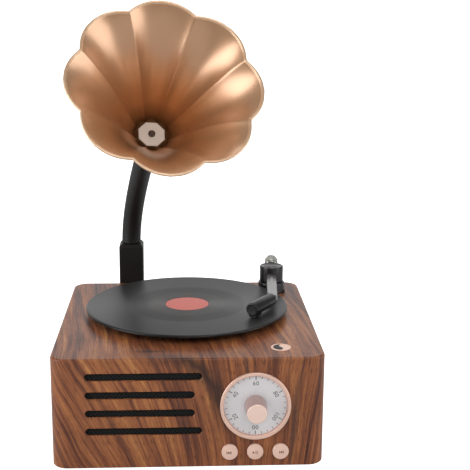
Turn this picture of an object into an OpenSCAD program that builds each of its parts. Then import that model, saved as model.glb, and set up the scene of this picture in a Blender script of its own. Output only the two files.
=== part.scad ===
// Table-top horn loudspeaker shaped as a small gramophone.
// A wooden case holds the driver, battery and boards. A record turns on its top beside a tonearm,
// and a post on the rear wall carries a curved neck with an eight-petal horn.
// Origin: centre of the case on the standing plane. +X right, +Y back, +Z up. Millimetres.

/* [Case] */
// Width of the wooden case
case_w = 120; // [118:0.5:124]
// Depth of the wooden case
case_d = 120; // [118:0.5:124]
// Height of the wooden case, without its feet
case_h = 50.6; // [50:0.1:54]
// Radius of the upright corners
corner_r = 7; // [6:0.5:9]
// Thickness of the case walls
wall = 4; // [3.6:0.1:4.4]
// Height of the rubber feet
foot_h = 1.5; // [1:0.1:3]

/* [Front slots] */
// Left end of the four sound slots
slot_left = -45; // [-47:0.5:-43]
// Length of the first and the last slot
slot_long = 50.9; // [46:0.1:52]
// Length of the two middle slots
slot_short = 47.7; // [42:0.1:51]
// Height of a slot
slot_h = 3.3; // [2.5:0.1:4]
// Distance from slot to slot
slot_pitch = 8.4; // [8:0.1:8.6]
// Height of the top slot's centre line
slot_top_z = 43.7; // [43:0.1:44]

/* [Dial and knob] */
// Centre of the dial, sideways
dial_x = 29.3; // [28:0.1:31]
// Centre of the dial, upwards
dial_z = 29.9; // [29:0.1:31]
// Outer radius of the dial ring
ring_r = 15.6; // [15:0.1:16.5]
// Width of the ring's front face
ring_w = 1.6; // [1:0.1:2]
// Diameter of the knob at the dial
knob_base_d = 9.7; // [9:0.1:12]
// Diameter of the knob's front face
knob_face_d = 8.8; // [8:0.1:10]
// Distance from the case's front to the knob's front face
knob_reach = 9.3; // [7:0.1:12]

/* [Buttons] */
// Height of the button centres
button_z = 8.6; // [8.5:0.1:9]
// Distance from button to button
button_pitch = 11.25; // [11:0.05:11.5]
// Diameter of a button cap
button_d = 7.2; // [6.5:0.1:7.6]
// How far a cap stands out of the case
button_proud = 1.5; // [1:0.1:2]
// How far a button can be pressed
button_travel = 0.8; // [0.3:0.1:0.8]

/* [Record] */
// Centre of the record behind the case's centre
record_y = 6.6; // [5:0.1:7]
// Radius of the record
record_r = 49.3; // [46:0.1:49.5]
// Thickness of the record
record_t = 1.4; // [1.2:0.1:2]
// Gap between the case's top and the record
record_gap = 2.9; // [2.2:0.1:3.2]
// Radius of the paper label
label_r = 10.6; // [9:0.1:12]

/* [Tonearm] */
// Tonearm pivot, sideways
arm_x = 44.8; // [44.5:0.1:46]
// Tonearm pivot, front to back
arm_y = 42.5; // [42:0.1:45]
// Radius of the fixed tonearm base
arm_base_r = 7.4; // [6.5:0.1:7.5]
// Height of the fixed tonearm base
arm_base_h = 5.5; // [5:0.1:5.7]
// Radius of the turning turret
turret_r = 6.15; // [5.5:0.05:6.4]
// Height of the turret's top above the case
turret_top_h = 14; // [14:0.1:15]
// Length of the arm from the pivot to the elbow
arm_len = 43.3; // [38:0.1:44]
// Turn of the arm towards the record, in degrees
arm_turn = 4.37; // [0:0.1:10]
// Radius of the arm tube
arm_r = 2.55; // [2:0.05:2.6]
// Bend of the headshell at the elbow, in degrees
shell_turn = 28; // [20:1:35]
// Length of the headshell from the elbow
shell_len = 21.2; // [18:0.1:23]
// Radius of the headshell
shell_r = 3.2; // [3:0.1:3.3]

/* [Post and neck] */
// Place of the post along the rear wall
post_x = -29.8; // [-32:0.1:-20]
// Width of the post
post_w = 12.8; // [12:0.1:14]
// Depth of the post
post_d = 13.6; // [12.6:0.1:14]
// Height of the post's top above the standing plane
post_top = 73.1; // [70:0.1:80]
// Diameter of the neck tube
neck_d = 10.1; // [9.8:0.1:11]
// Height over which the neck leaves the post upright
neck_lift = 14; // [12:0.5:20]
// Reach of the horn's axis back into the neck's curve
neck_pull = 44; // [38:0.5:50]
// Length of the straight end of the neck
neck_straight = 12; // [11:0.5:16]

/* [Horn] */
// Throat of the horn, sideways
throat_x = -17; // [-18:0.1:-16]
// Throat of the horn, front to back
throat_y = 16.8; // [15:0.1:18]
// Throat of the horn, upwards
throat_z = 138.56; // [137:0.01:140]
// Turn of the horn to the right of straight ahead
horn_yaw = 11.86; // [-20:0.01:20]
// Rise of the horn's axis above the level
horn_rise = 35.88; // [30:0.01:45]
// Number of petals
petals = 8; // [6:1:10]
// Depth of the bell along its axis
bell_depth = 46.4; // [40:0.1:55]
// Radius of the mouth where two petals meet
cusp_r = 40.35; // [36:0.05:44]
// Radius of the mouth at the middle of a petal, as a multiple of the cusp radius
petal_bulge = 1.1063; // [1.09:0.0001:1.13]
// Radius of the throat floor
throat_r = 7.6; // [7.6:0.1:9]
// Flare exponent: higher values bend the mouth outwards later
flare = 1.35; // [1.2:0.05:1.9]
// Thickness of the sheet metal
bell_t = 1; // [0.8:0.1:1.5]
// Turn of the petals about the horn's axis, in degrees
petal_turn = 17.77; // [0:0.01:45]

/* [Hidden] */

$fn = 64;
EPS = 1;            // overshoot of a cutting solid past the face it cuts
RUN = 0.05;         // radial clearance of a running fit
SEAT = 0.02;        // radial clearance of a glued or pressed seat

// Case levels
case_top = foot_h + case_h;
ceiling = case_top - wall;
front = -case_d / 2;
rear = case_d / 2;
front_in = front + wall;
rear_in = rear - wall;
cover_t = 2.4;
cover_top = foot_h + cover_t;
cover_gap = 0.3;
inner_w = case_w - 2 * wall;
inner_d = case_d - 2 * wall;
inner_corner_r = corner_r - wall;
foot_r = 5;
foot_x = case_w / 2 - 18;
foot_y = case_d / 2 - 12;

// Fasteners: thread radius, head radius and head height of each size
m3 = [1.45, 2.6, 2.0];
m2 = [0.95, 1.7, 1.3];
pilot_gap = 0.05;   // pilot hole radius over thread radius
boss_r = 4.5;
boss_x = case_w / 2 - 7.5;
boss_front_y = front + 16;
boss_rear_y = rear - 8;
cover_screws_at = [for (x = [-boss_x, boss_x], y = [boss_front_y, boss_rear_y]) [x, y]];
cover_screw_len = 12;

// Loudspeaker driver behind the slots
baffle_x = -20;
baffle_w = 62;
baffle_bottom = foot_h + 3.5;
baffle_h = 42.5;
baffle_t = 3;
cloth_t = 0.5;
cloth_w = 53.4;
cloth_h = 31.8;
slots_z = slot_top_z - 1.5 * slot_pitch;
slots_x = slot_left + slot_long / 2;
slot_wall = 1.2;
cloth_gap = 0.2;
pad_t = wall - slot_wall - cloth_t;
baffle_front = front_in;
baffle_back = baffle_front + baffle_t;
baffle_screw_x = baffle_w / 2 - 2;
baffle_screws_at = [for (x = [-1, 1], z = [12, 40]) [baffle_x + x * baffle_screw_x, z]];
driver_z = baffle_bottom + baffle_h / 2;
driver_w = 40;
driver_hole_r = 17.5;
driver_hole_at = driver_w / 2 - 3;
flange_t = 1.5;
basket_depth = 12;
magnet_r = 14;
magnet_bore_r = 6.5;
magnet_t = 8;
pole_r = 4.2;
coil_r = 4.5;
coil_t = 0.3;
yoke_t = 2.5;

// Dial, potentiometer and control board
ring_proud = 0.9;
ring_in_r = ring_r - ring_w;
dial_seat_r = ring_r - 1;
plate_t = 1.2;
dial_recess = 1.8;
plate_front = front + dial_recess - plate_t;
shaft_r = 2;
pot_w = 10;
pot_t = 5;
board_t = 1.6;
control_front = front_in + 6.4;
control_w = 34.2;
control_bottom = foot_h + 3.3;
control_h = 36.2;
control_boss_x = 14.9;
control_boss_r = 2.6;
control_screws_at = [for (x = [-1, 1], z = [18, 37]) [dial_x + x * control_boss_x, z]];

// Buttons
button_gap = 0.12;
button_flange_r = 4.4;
button_flange_t = 1;
tact_w = 6;
tact_t = 3;
plunger_r = 1.7;
plunger_t = 0.8;
plunger_front = control_front - tact_t - plunger_t;
stem_r = 1.8;
stem_end = plunger_front - button_travel - 0.1;
button_xs = [dial_x - button_pitch, dial_x, dial_x + button_pitch];

// Main board, inlet and battery
main_x = 21;
main_w = 50;
main_d = 45;
main_back = rear_in - 0.5;
main_bottom = foot_h + 8;
main_top = main_bottom + board_t;
standoff_r = 3;
standoffs_at = [for (x = [-21, 21], y = [-40.5, -6.5]) [main_x + x, main_back + y]];
usb_w = 8.94;
usb_h = 3.26;
usb_wall = 0.3;
usb_len = 7.35;
usb_front = rear - 0.5;
usb_z = main_top + usb_h / 2;
usb_gap = 0.2;
battery_r = 9.2;
battery_len = 65;
battery_x = -42;
battery_y = 11;
battery_z = cover_top + battery_r + 1.2;
tray_w = 20.4;
tray_h = 9;

// Badge on the top
badge_x = 41.2;
badge_y = -47;
badge_r = 4.5;
badge_recess = 0.4;
badge_t = 0.7;

// Record, hub and bush
record_bottom = case_top + record_gap;
record_top = record_bottom + record_t;
record_bevel = 0.7;
label_recess = 0.3;
label_t = 0.24;
bush_r = 5;
bush_flange_r = 7;
bush_flange_t = 0.5;
bush_len = 9;
spindle_r = 3;
hub_r = 14;
hub_gap = 0.1;
centre_pin_r = 1.5;
clip_r = 4.6;
clip_t = 0.6;
bush_bottom = case_top - bush_len;

// Tonearm
arm_base_top = case_top + arm_base_h;
turret_bottom = arm_base_top + 0.1;
turret_top = case_top + turret_top_h;
turret_bevel = 0.5;
arm_axis_z = case_top + 8.7;
pivot_r = 2;
pivot_top = turret_bottom + 2.4;
base_spigot_r = 4;
base_spigot_len = 10;
base_bottom = case_top - base_spigot_len;
nut_t = 3;
nut_corner_r = 6.4;
socket_depth = 3.5;
weight_r = 3.5;
weight_len = 7.6;
weight_rise = 15;
weight_rod_r = 1.3;
weight_rod_z = turret_top - 3.2;
weight_start = 8.2;
shell_start = 1.6;
shell_bore_depth = 6;
spigot_r = 1.8;
cartridge_w = 4.2;
cartridge_l = 5.5;
cartridge_clear = 0.2;
cartridge_at = shell_len - 6.2;

// Post and neck
post_y = rear + post_d / 2;
post_bottom = foot_h + 6.5;
post_chamfer = 1.2;
post_screws_z = [20, 40];
neck_r = neck_d / 2;
neck_bore_r = neck_r - 1.15;
neck_spigot_r = 4;
neck_spigot_len = 24;
spigot_lap = 1.2;
set_screw_z = post_top - 12;
set_screw_r = 1.5;
groove_r = 3.2;
groove_h = 3.4;
neck_start = post_top + 0.05;
neck_sides = 32;
neck_steps = 20;
horn_axis = [sin(horn_yaw) * cos(horn_rise), -cos(horn_yaw) * cos(horn_rise), sin(horn_rise)];
neck_side = [cos(horn_yaw), sin(horn_yaw), 0];
throat_pos = [throat_x, throat_y, throat_z];
neck_foot = [post_x, post_y, neck_start];
neck_top = throat_pos - (neck_straight + bell_t) * horn_axis;
neck_controls = [neck_foot, neck_foot + [0, 0, neck_lift], neck_top - neck_pull * horn_axis, neck_top];

// Point of the neck's curve, from the post (t = 0) to the start of the straight end (t = 1)
function neck_point(t) =
    pow(1 - t, 3) * neck_controls[0] + 3 * pow(1 - t, 2) * t * neck_controls[1]
    + 3 * (1 - t) * t * t * neck_controls[2] + pow(t, 3) * neck_controls[3];

// Unit vector along the curve there
function neck_heading(t) =
    let (v = pow(1 - t, 2) * (neck_controls[1] - neck_controls[0])
        + 2 * (1 - t) * t * (neck_controls[2] - neck_controls[1])
        + t * t * (neck_controls[3] - neck_controls[2]))
    v / norm(v);

// Centre line of the neck as [point, heading], with the straight end last
neck_stations = concat(
    [for (i = [0:neck_steps]) [neck_point(i / neck_steps), neck_heading(i / neck_steps)]],
    [[throat_pos - bell_t * horn_axis, horn_axis]]
);
plug_len = 10;

// Horn surface: rings from the throat to the rim, and steps around one petal
bell_rings = 14;
lip_at = 0.93;      // share of the flare curve that the bell uses
petal_steps = 8;
bell_steps = petals * petal_steps;
petal_angle = 360 / petals;
bell_hole_r = 1.2;
petal_half_chord = sin(petal_angle / 2);
petal_sagitta = petal_bulge - cos(petal_angle / 2);
petal_arc_r = (pow(petal_half_chord, 2) + pow(petal_sagitta, 2)) / (2 * petal_sagitta);
petal_arc_at = petal_bulge - petal_arc_r;

// Throat plate and screw
throat_plate_r = 6.9;
throat_plate_t = 0.8;
throat_screw_len = 8;

// ---------- helpers ----------

// Faces of a closed skin through rings of points, the last ring joined to the first
function skin_faces(rings, steps) =
    [for (i = [0:rings - 1], j = [0:steps - 1], half = [0, 1])
        let (i2 = (i + 1) % rings, j2 = (j + 1) % steps)
        half == 0
            ? [i * steps + j, i2 * steps + j, i2 * steps + j2]
            : [i * steps + j, i2 * steps + j2, i * steps + j2]];

// Upright block with rounded corners, standing on z = 0
module rounded_block(w, d, h, r) {
    linear_extrude(h) union() {
        square([w - 2 * r, d], center = true);
        square([w, d - 2 * r], center = true);
        for (x = [-1, 1], y = [-1, 1])
            translate([x * (w / 2 - r), y * (d / 2 - r)]) circle(r);
    }
}

// Places children with their local +Z facing the front, at height z
module facing_front(x, y, z) {
    translate([x, y, z]) rotate([90, 0, 0]) children();
}

// Bar with round ends along local X, as thick as t along local Z
module stadium(length, height, t) {
    straight = length - height;
    union() {
        translate([-straight / 2, -height / 2, 0]) cube([straight, height, t]);
        for (x = [-1, 1]) translate([x * straight / 2, 0, 0]) cylinder(h = t, d = height);
    }
}

// Pan-head screw with its head's underside at z = 0 and its shank going down; size is one of the m lists
module pan_screw(size, length) {
    slot_w = size[1] * 0.3;
    difference() {
        union() {
            cylinder(h = size[2] * 0.6, r = size[1]);
            translate([0, 0, size[2] * 0.6]) cylinder(h = size[2] * 0.4, r1 = size[1], r2 = size[1] * 0.7);
            translate([0, 0, -length]) cylinder(h = length + size[2] / 2, r = size[0]);
        }
        for (a = [0, 90]) rotate([0, 0, a])
            translate([-size[1] * 0.6, -slot_w / 2, size[2] * 0.45]) cube([size[1] * 1.2, slot_w, size[2]]);
    }
}

// Countersunk screw pointing up, with its flat head face at z = 0
module flat_screw(size, length) {
    slot_w = size[1] * 0.3;
    difference() {
        union() {
            cylinder(h = size[1] - size[0], r1 = size[1], r2 = size[0]);
            cylinder(h = length, r = size[0]);
        }
        for (a = [0, 90]) rotate([0, 0, a])
            translate([-size[1] * 0.6, -slot_w / 2, -EPS]) cube([size[1] * 1.2, slot_w, EPS + size[1] * 0.3]);
    }
}

// ---------- case ----------

module slots_cut() {
    for (i = [0:3]) {
        slot_len = (i == 0 || i == 3) ? slot_long : slot_short;
        facing_front(slot_left + slot_len / 2, front_in + EPS, slot_top_z - i * slot_pitch)
            stadium(slot_len, slot_h, wall + 2 * EPS);
    }
}

module case_block() {
    difference() {
        translate([0, 0, foot_h]) rounded_block(case_w, case_d, case_h, corner_r);
        translate([0, 0, foot_h - EPS])
            rounded_block(inner_w, inner_d, case_h - wall + EPS, inner_corner_r);
    }
}

module case_bosses() {
    for (p = cover_screws_at)
        translate([p[0], p[1], cover_top]) cylinder(h = ceiling - cover_top + 1, r = boss_r);
    for (p = control_screws_at)
        facing_front(p[0], control_front, p[1]) cylinder(h = control_front - front_in + 1, r = control_boss_r);
}

module case_holes() {
    slots_cut();
    translate([slots_x - cloth_w / 2 - cloth_gap, front + slot_wall, slots_z - cloth_h / 2 - cloth_gap])
        cube([cloth_w + 2 * cloth_gap, wall - slot_wall + EPS, cloth_h + 2 * cloth_gap]);
    for (p = cover_screws_at)
        translate([p[0], p[1], cover_top - EPS]) cylinder(h = cover_screw_len + EPS, r = m3[0] + pilot_gap);
    for (p = control_screws_at)
        facing_front(p[0], control_front + EPS, p[1]) cylinder(h = 5 + EPS, r = m2[0] + pilot_gap);
    for (p = baffle_screws_at)
        facing_front(p[0], front_in + EPS, p[1]) cylinder(h = 2.5 + EPS, r = m2[0] + pilot_gap);
    facing_front(dial_x, front + dial_recess, dial_z) cylinder(h = dial_recess + EPS, r = dial_seat_r);
    facing_front(dial_x, front_in + EPS, dial_z) cylinder(h = wall + EPS, r = dial_seat_r - 2.6);
    for (x = button_xs)
        facing_front(x, front_in + EPS, button_z) cylinder(h = wall + 2 * EPS, r = button_d / 2 + button_gap);
    translate([0, record_y, ceiling - EPS]) cylinder(h = wall + 2 * EPS, r = bush_r + SEAT);
    translate([arm_x, arm_y, ceiling - EPS]) cylinder(h = wall + 2 * EPS, r = base_spigot_r + SEAT);
    translate([badge_x, badge_y, case_top - badge_recess])
        cylinder(h = badge_recess + EPS, r = badge_r + SEAT);
    for (z = post_screws_z)
        facing_front(post_x, rear + EPS, z) cylinder(h = wall + 2 * EPS, r = m3[0] + 0.15);
    facing_front(main_x, rear + EPS, usb_z)
        stadium(usb_w + 2 * usb_gap, usb_h + 2 * usb_gap, wall + 2 * EPS);
}

module case_shell() {
    color("#6b4632") difference() {
        union() {
            case_block();
            case_bosses();
        }
        case_holes();
    }
}

module bottom_cover() {
    color("#1c1c1c") difference() {
        union() {
            translate([0, 0, foot_h])
                rounded_block(inner_w - 2 * cover_gap, inner_d - 2 * cover_gap, cover_t, inner_corner_r - cover_gap);
            for (p = standoffs_at)
                translate([p[0], p[1], foot_h + 1]) cylinder(h = main_bottom - foot_h - 1, r = standoff_r);
        }
        for (p = cover_screws_at) translate([p[0], p[1], foot_h]) {
            translate([0, 0, -EPS]) cylinder(h = cover_t + 2 * EPS, r = m3[0] + 0.1);
            translate([0, 0, -0.05]) cylinder(h = m3[1] - m3[0] + 0.1, r1 = m3[1] + 0.15, r2 = m3[0] + 0.05);
        }
        for (p = standoffs_at)
            translate([p[0], p[1], main_bottom - 5]) cylinder(h = 5 + EPS, r = m2[0] + pilot_gap);
    }
}

module cover_screws() {
    color("#8a8a8a") for (p = cover_screws_at) translate([p[0], p[1], foot_h + 0.1]) flat_screw(m3, 11);
}

module feet() {
    color("#151515") for (x = [-foot_x, foot_x], y = [-foot_y, foot_y]) translate([x, y, 0]) union() {
        cylinder(h = 0.4, r1 = foot_r - 0.4, r2 = foot_r);
        translate([0, 0, 0.4]) cylinder(h = foot_h - 0.4, r = foot_r);
    }
}

module badge() {
    color("#d9a48a") translate([badge_x, badge_y, case_top - badge_recess]) union() {
        cylinder(h = badge_t - 0.2, r = badge_r);
        translate([0, 0, badge_t - 0.2]) cylinder(h = 0.2, r1 = badge_r, r2 = badge_r - 0.2);
    }
}

// ---------- driver ----------

// Places children with local z = 0 at the baffle's back face and local +Z facing the front
module at_driver() {
    facing_front(baffle_x, baffle_back, driver_z) children();
}

module grille_cloth() {
    color("#101010") translate([slots_x - cloth_w / 2, front + slot_wall, slots_z - cloth_h / 2])
        cube([cloth_w, cloth_t, cloth_h]);
}

module speaker_baffle() {
    color("#2a2a2a") difference() {
        union() {
            translate([baffle_x - baffle_w / 2, baffle_front, baffle_bottom])
                cube([baffle_w, baffle_t, baffle_h]);
            translate([slots_x - cloth_w / 2, baffle_front - pad_t, slots_z - cloth_h / 2])
                cube([cloth_w, pad_t + EPS, cloth_h]);
        }
        facing_front(baffle_x, baffle_back + EPS, driver_z)
            cylinder(h = baffle_t + pad_t + 2 * EPS, r = driver_hole_r);
        for (p = baffle_screws_at)
            facing_front(p[0], baffle_back + EPS, p[1]) cylinder(h = baffle_t + 2 * EPS, r = m2[0] + 0.15);
        for (x = [-1, 1], z = [-1, 1])
            at_driver() translate([x * driver_hole_at, z * driver_hole_at, -EPS])
                cylinder(h = 2.5 + EPS, r = m2[0] + pilot_gap);
    }
}

module baffle_screws() {
    color("#8a8a8a") for (p = baffle_screws_at)
        facing_front(p[0], baffle_back, p[1]) rotate([180, 0, 0]) pan_screw(m2, baffle_t + 2);
}

module speaker_frame() {
    color("#3a3a3a") at_driver() difference() {
        union() {
            translate([-driver_w / 2, -driver_w / 2, -flange_t]) cube([driver_w, driver_w, flange_t]);
            rotate_extrude() polygon([
                [driver_hole_r - 0.2, -0.4], [driver_hole_r + 1.4, -0.4],
                [11.2, -basket_depth], [11.2, -basket_depth - 1],
                [magnet_bore_r, -basket_depth - 1], [magnet_bore_r, -basket_depth], [10, -basket_depth]
            ]);
        }
        translate([0, 0, -flange_t]) cylinder(h = flange_t, r = driver_hole_r - 0.2);
        for (a = [45, 135]) rotate([0, 0, a])
            translate([-30, -4, -basket_depth + 1.2]) cube([60, 8, basket_depth - flange_t - 2.4]);
        for (x = [-1, 1], y = [-1, 1])
            translate([x * driver_hole_at, y * driver_hole_at, -flange_t - EPS])
                cylinder(h = flange_t + 2 * EPS, r = m2[0] + 0.15);
    }
}

module speaker_screws() {
    color("#8a8a8a") at_driver() for (x = [-1, 1], y = [-1, 1])
        translate([x * driver_hole_at, y * driver_hole_at, -flange_t]) rotate([180, 0, 0])
            pan_screw(m2, flange_t + 2);
}

module speaker_surround() {
    roll_at = 15.9;
    color("#1a1a1a") at_driver() rotate_extrude() translate([roll_at, -1.3]) union() {
        difference() {
            circle(r = 1.2, $fn = 24);
            circle(r = 0.8, $fn = 24);
            translate([-2, -2]) square([4, 2]);
        }
        translate([-1.6, 0]) square([0.6, 0.3]);
    }
}

module speaker_cone() {
    color("#4a4038") at_driver() rotate_extrude()
        polygon([[14.25, -1.3], [14.25, -1.8], [coil_r, -9], [coil_r, -8.4]]);
}

module speaker_dust_cap() {
    cap_r = coil_r + 0.5;
    color("#2b2b2b") at_driver() translate([0, 0, -8]) rotate_extrude() intersection() {
        difference() {
            circle(r = cap_r);
            circle(r = cap_r - 0.4);
        }
        translate([0, 2]) square([cap_r, cap_r]);
    }
}

module voice_coil() {
    color("#b5651d") at_driver() translate([0, 0, -16]) difference() {
        cylinder(h = 6.9, r = coil_r + coil_t);
        translate([0, 0, -EPS]) cylinder(h = 6.9 + 2 * EPS, r = coil_r);
    }
}

module speaker_magnet() {
    color("#2f2f33") at_driver() translate([0, 0, -basket_depth - 1 - magnet_t]) difference() {
        cylinder(h = magnet_t, r = magnet_r);
        translate([0, 0, -EPS]) cylinder(h = magnet_t + 2 * EPS, r = magnet_bore_r);
    }
}

module speaker_yoke() {
    yoke_top = -basket_depth - 1 - magnet_t;
    color("#9a9a9a") at_driver() union() {
        translate([0, 0, yoke_top - yoke_t]) cylinder(h = yoke_t, r = magnet_r - 0.5);
        translate([0, 0, yoke_top - 1]) cylinder(h = magnet_t + 1.6, r = pole_r);
    }
}

// ---------- dial, knob and buttons ----------

module dial_ring() {
    color("#e0a98c") facing_front(dial_x, front, dial_z) rotate_extrude() polygon([
        [ring_in_r, -dial_recess + SEAT], [dial_seat_r - SEAT, -dial_recess + SEAT],
        [dial_seat_r - SEAT, 0], [ring_r, 0], [ring_r, ring_proud - 0.3],
        [ring_r - 0.3, ring_proud], [ring_in_r + 0.3, ring_proud], [ring_in_r, ring_proud - 0.3]
    ]);
}

module dial_plate() {
    color("#d6d6d8") facing_front(dial_x, front + dial_recess, dial_z) difference() {
        cylinder(h = plate_t, r = ring_in_r - RUN);
        translate([0, 0, -EPS]) cylinder(h = plate_t + 2 * EPS, r = shaft_r + 0.3);
    }
}

module control_board() {
    color("#1f5c33") difference() {
        translate([dial_x - control_w / 2, control_front, control_bottom]) cube([control_w, board_t, control_h]);
        for (p = control_screws_at)
            facing_front(p[0], control_front + board_t + EPS, p[1])
                cylinder(h = board_t + 2 * EPS, r = m2[0] + 0.15);
    }
}

module potentiometer() {
    color("#5a5f66") facing_front(dial_x, control_front, dial_z) difference() {
        union() {
            translate([-pot_w / 2, -pot_w / 2, 0]) cube([pot_w, pot_w, pot_t]);
            cylinder(h = control_front - front_in, r = 3.4);
        }
        translate([0, 0, 1]) cylinder(h = 10, r = shaft_r + RUN);
    }
}

module pot_shaft() {
    shaft_back = 1.2;
    color("#c8c8c8") facing_front(dial_x, control_front, dial_z)
        translate([0, 0, shaft_back]) cylinder(h = control_front - front + knob_reach - 2 - shaft_back, r = shaft_r);
}

module volume_knob() {
    knob_back = front - plate_front + 0.3;
    knob_edge = 0.35;
    color("#e6b497") facing_front(dial_x, front, dial_z) difference() {
        rotate_extrude() polygon([
            [0, knob_back], [knob_base_d / 2, knob_back],
            [knob_face_d / 2, knob_reach - knob_edge], [knob_face_d / 2 - knob_edge, knob_reach], [0, knob_reach]
        ]);
        translate([0, 0, knob_back - EPS]) cylinder(h = knob_reach - 2 - knob_back + EPS + 0.05, r = shaft_r + SEAT);
    }
}

module tact_switches() {
    color("#303030") for (x = button_xs) facing_front(x, control_front, button_z) union() {
        translate([-tact_w / 2, -tact_w / 2, 0]) cube([tact_w, tact_w, tact_t]);
        cylinder(h = tact_t + plunger_t, r = plunger_r);
    }
}

// One button: domed cap, a flange that stops it behind the wall and a stem for its switch
module button(x) {
    cap_r = button_d / 2;
    dome = 0.7;
    dome_steps = 6;
    facing_front(x, front, button_z) rotate_extrude() polygon(concat(
        [[0, front - stem_end], [stem_r, front - stem_end]],
        [[stem_r, -wall - 0.1 - button_flange_t], [button_flange_r, -wall - 0.1 - button_flange_t]],
        [[button_flange_r, -wall - 0.1], [cap_r, -wall - 0.1]],
        [for (i = [0:dome_steps]) let (a = 90 * i / dome_steps)
            [(cap_r - dome) + dome * cos(a), button_proud - dome + dome * 0.8 * sin(a)]],
        [[0, button_proud]]
    ));
}

module button_previous() {
    color("#e6b497") button(button_xs[0]);
}

module button_play() {
    color("#e6b497") button(button_xs[1]);
}

module button_next() {
    color("#e6b497") button(button_xs[2]);
}

// ---------- boards, inlet and battery ----------

module main_board() {
    color("#1f5c33") difference() {
        translate([main_x - main_w / 2, main_back - main_d, main_bottom]) cube([main_w, main_d, board_t]);
        for (p = standoffs_at)
            translate([p[0], p[1], main_bottom - EPS]) cylinder(h = board_t + 2 * EPS, r = m2[0] + 0.15);
    }
}

// Amplifier chip, radio module, coil, two capacitors and the battery plug's header
module board_components() {
    color("#26262b") translate([main_x, main_back, main_top]) {
        translate([-14, -30, 0]) cube([9, 9, 1.4]);
        translate([2, -36, 0]) cube([13, 17, 2.2]);
        translate([-13, -15, 0]) cube([6, 6, 3]);
        for (y = [-14, -21]) translate([-1, y, 0]) cylinder(h = 8, r = 2.5);
        translate([-21, -24, 0]) cube([4, 7.5, 6]);
    }
}

module board_screws() {
    color("#8a8a8a") {
        for (p = standoffs_at) translate([p[0], p[1], main_top]) pan_screw(m2, board_t + 4);
        for (p = control_screws_at)
            facing_front(p[0], control_front + board_t, p[1]) rotate([180, 0, 0]) pan_screw(m2, board_t + 4);
    }
}

module usb_socket() {
    color("#b8bcc0") facing_front(main_x, usb_front, usb_z) union() {
        difference() {
            stadium(usb_w, usb_h, usb_len);
            translate([0, 0, -EPS]) stadium(usb_w - 2 * usb_wall, usb_h - 2 * usb_wall, usb_len - 0.8 + EPS);
        }
        translate([-3.35, -0.35, 0.8]) cube([6.7, 0.7, usb_len - 1.2]);
    }
}

module battery() {
    color("#3c6fa8") translate([battery_x, battery_y + battery_len / 2, battery_z]) rotate([90, 0, 0]) union() {
        cylinder(h = battery_len - 0.8, r = battery_r);
        cylinder(h = battery_len, r = 3);
    }
}

module battery_tray() {
    color("#222222") difference() {
        translate([battery_x - tray_w / 2, battery_y - battery_len / 2 - 2, cover_top])
            cube([tray_w, battery_len + 4, tray_h]);
        translate([battery_x, battery_y + battery_len / 2 + 0.3, battery_z]) rotate([90, 0, 0])
            cylinder(h = battery_len + 0.6, r = battery_r + 0.1);
    }
}

// ---------- record ----------

module at_record() {
    translate([0, record_y, 0]) children();
}

module spindle_bush() {
    color("#b08d57") at_record() difference() {
        union() {
            translate([0, 0, bush_bottom]) cylinder(h = bush_len + 0.1, r = bush_r);
            translate([0, 0, case_top]) cylinder(h = bush_flange_t, r = bush_flange_r);
        }
        translate([0, 0, bush_bottom - EPS]) cylinder(h = bush_len + bush_flange_t + 2 * EPS, r = spindle_r + RUN);
    }
}

// Hub flange under the record, its spindle and the short centre pin inside the record's hole
module platter_hub() {
    hub_bottom = case_top + bush_flange_t + hub_gap;
    groove_at = bush_bottom - hub_gap - clip_t;
    color("#2a2a2c") at_record() difference() {
        union() {
            translate([0, 0, hub_bottom]) cylinder(h = record_bottom - hub_bottom, r = hub_r);
            translate([0, 0, groove_at - 1]) cylinder(h = hub_bottom - groove_at + 1.5, r = spindle_r);
            translate([0, 0, record_bottom - 0.5]) cylinder(h = record_t - label_recess + 0.4, r = centre_pin_r);
        }
        translate([0, 0, groove_at]) difference() {
            cylinder(h = clip_t, r = spindle_r + EPS);
            translate([0, 0, -EPS]) cylinder(h = clip_t + 2 * EPS, r = spindle_r - 0.6);
        }
    }
}

module record_disc() {
    color("#1b1b1d") at_record() rotate_extrude($fn = 128) polygon([
        [centre_pin_r + SEAT, record_bottom], [record_r - record_bevel, record_bottom],
        [record_r, record_bottom + 0.35], [record_r, record_top - 0.45],
        [record_r - record_bevel, record_top], [label_r + 0.15, record_top],
        [label_r + 0.15, record_top - label_recess], [centre_pin_r + SEAT, record_top - label_recess]
    ]);
}

module record_label() {
    color("#c8555a") at_record()
        translate([0, 0, record_top - label_recess]) cylinder(h = label_t, r = label_r);
}

// Spring clip in the groove below the bush
module spindle_clip() {
    color("#8a8a8a") at_record() translate([0, 0, bush_bottom - hub_gap - clip_t + 0.03]) difference() {
        cylinder(h = clip_t - 0.06, r = clip_r);
        translate([0, 0, -EPS]) cylinder(h = clip_t + 2 * EPS, r = spindle_r - 0.55);
        translate([0, -1.6, -EPS]) cube([clip_r + EPS, 3.2, clip_t + 2 * EPS]);
    }
}

// ---------- tonearm ----------

module at_arm_pivot() {
    translate([arm_x, arm_y, 0]) children();
}

// Local +Z along the arm from the pivot towards the elbow, at the arm's height
module along_arm() {
    translate([arm_x, arm_y, arm_axis_z]) rotate([90, 0, -arm_turn]) children();
}

// Local +Z along the headshell from the elbow
module along_shell() {
    along_arm() translate([0, 0, arm_len]) rotate([0, -shell_turn, 0]) children();
}

module tonearm_base() {
    color("#262628") at_arm_pivot() difference() {
        union() {
            rotate_extrude() polygon([
                [0, case_top], [arm_base_r, case_top], [arm_base_r, arm_base_top - 0.5],
                [arm_base_r - 0.5, arm_base_top], [0, arm_base_top]
            ]);
            translate([0, 0, base_bottom]) cylinder(h = base_spigot_len + EPS, r = base_spigot_r);
        }
        translate([0, 0, base_bottom - EPS]) cylinder(h = base_spigot_len + arm_base_h + 2 * EPS, r = pivot_r + RUN);
    }
}

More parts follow.
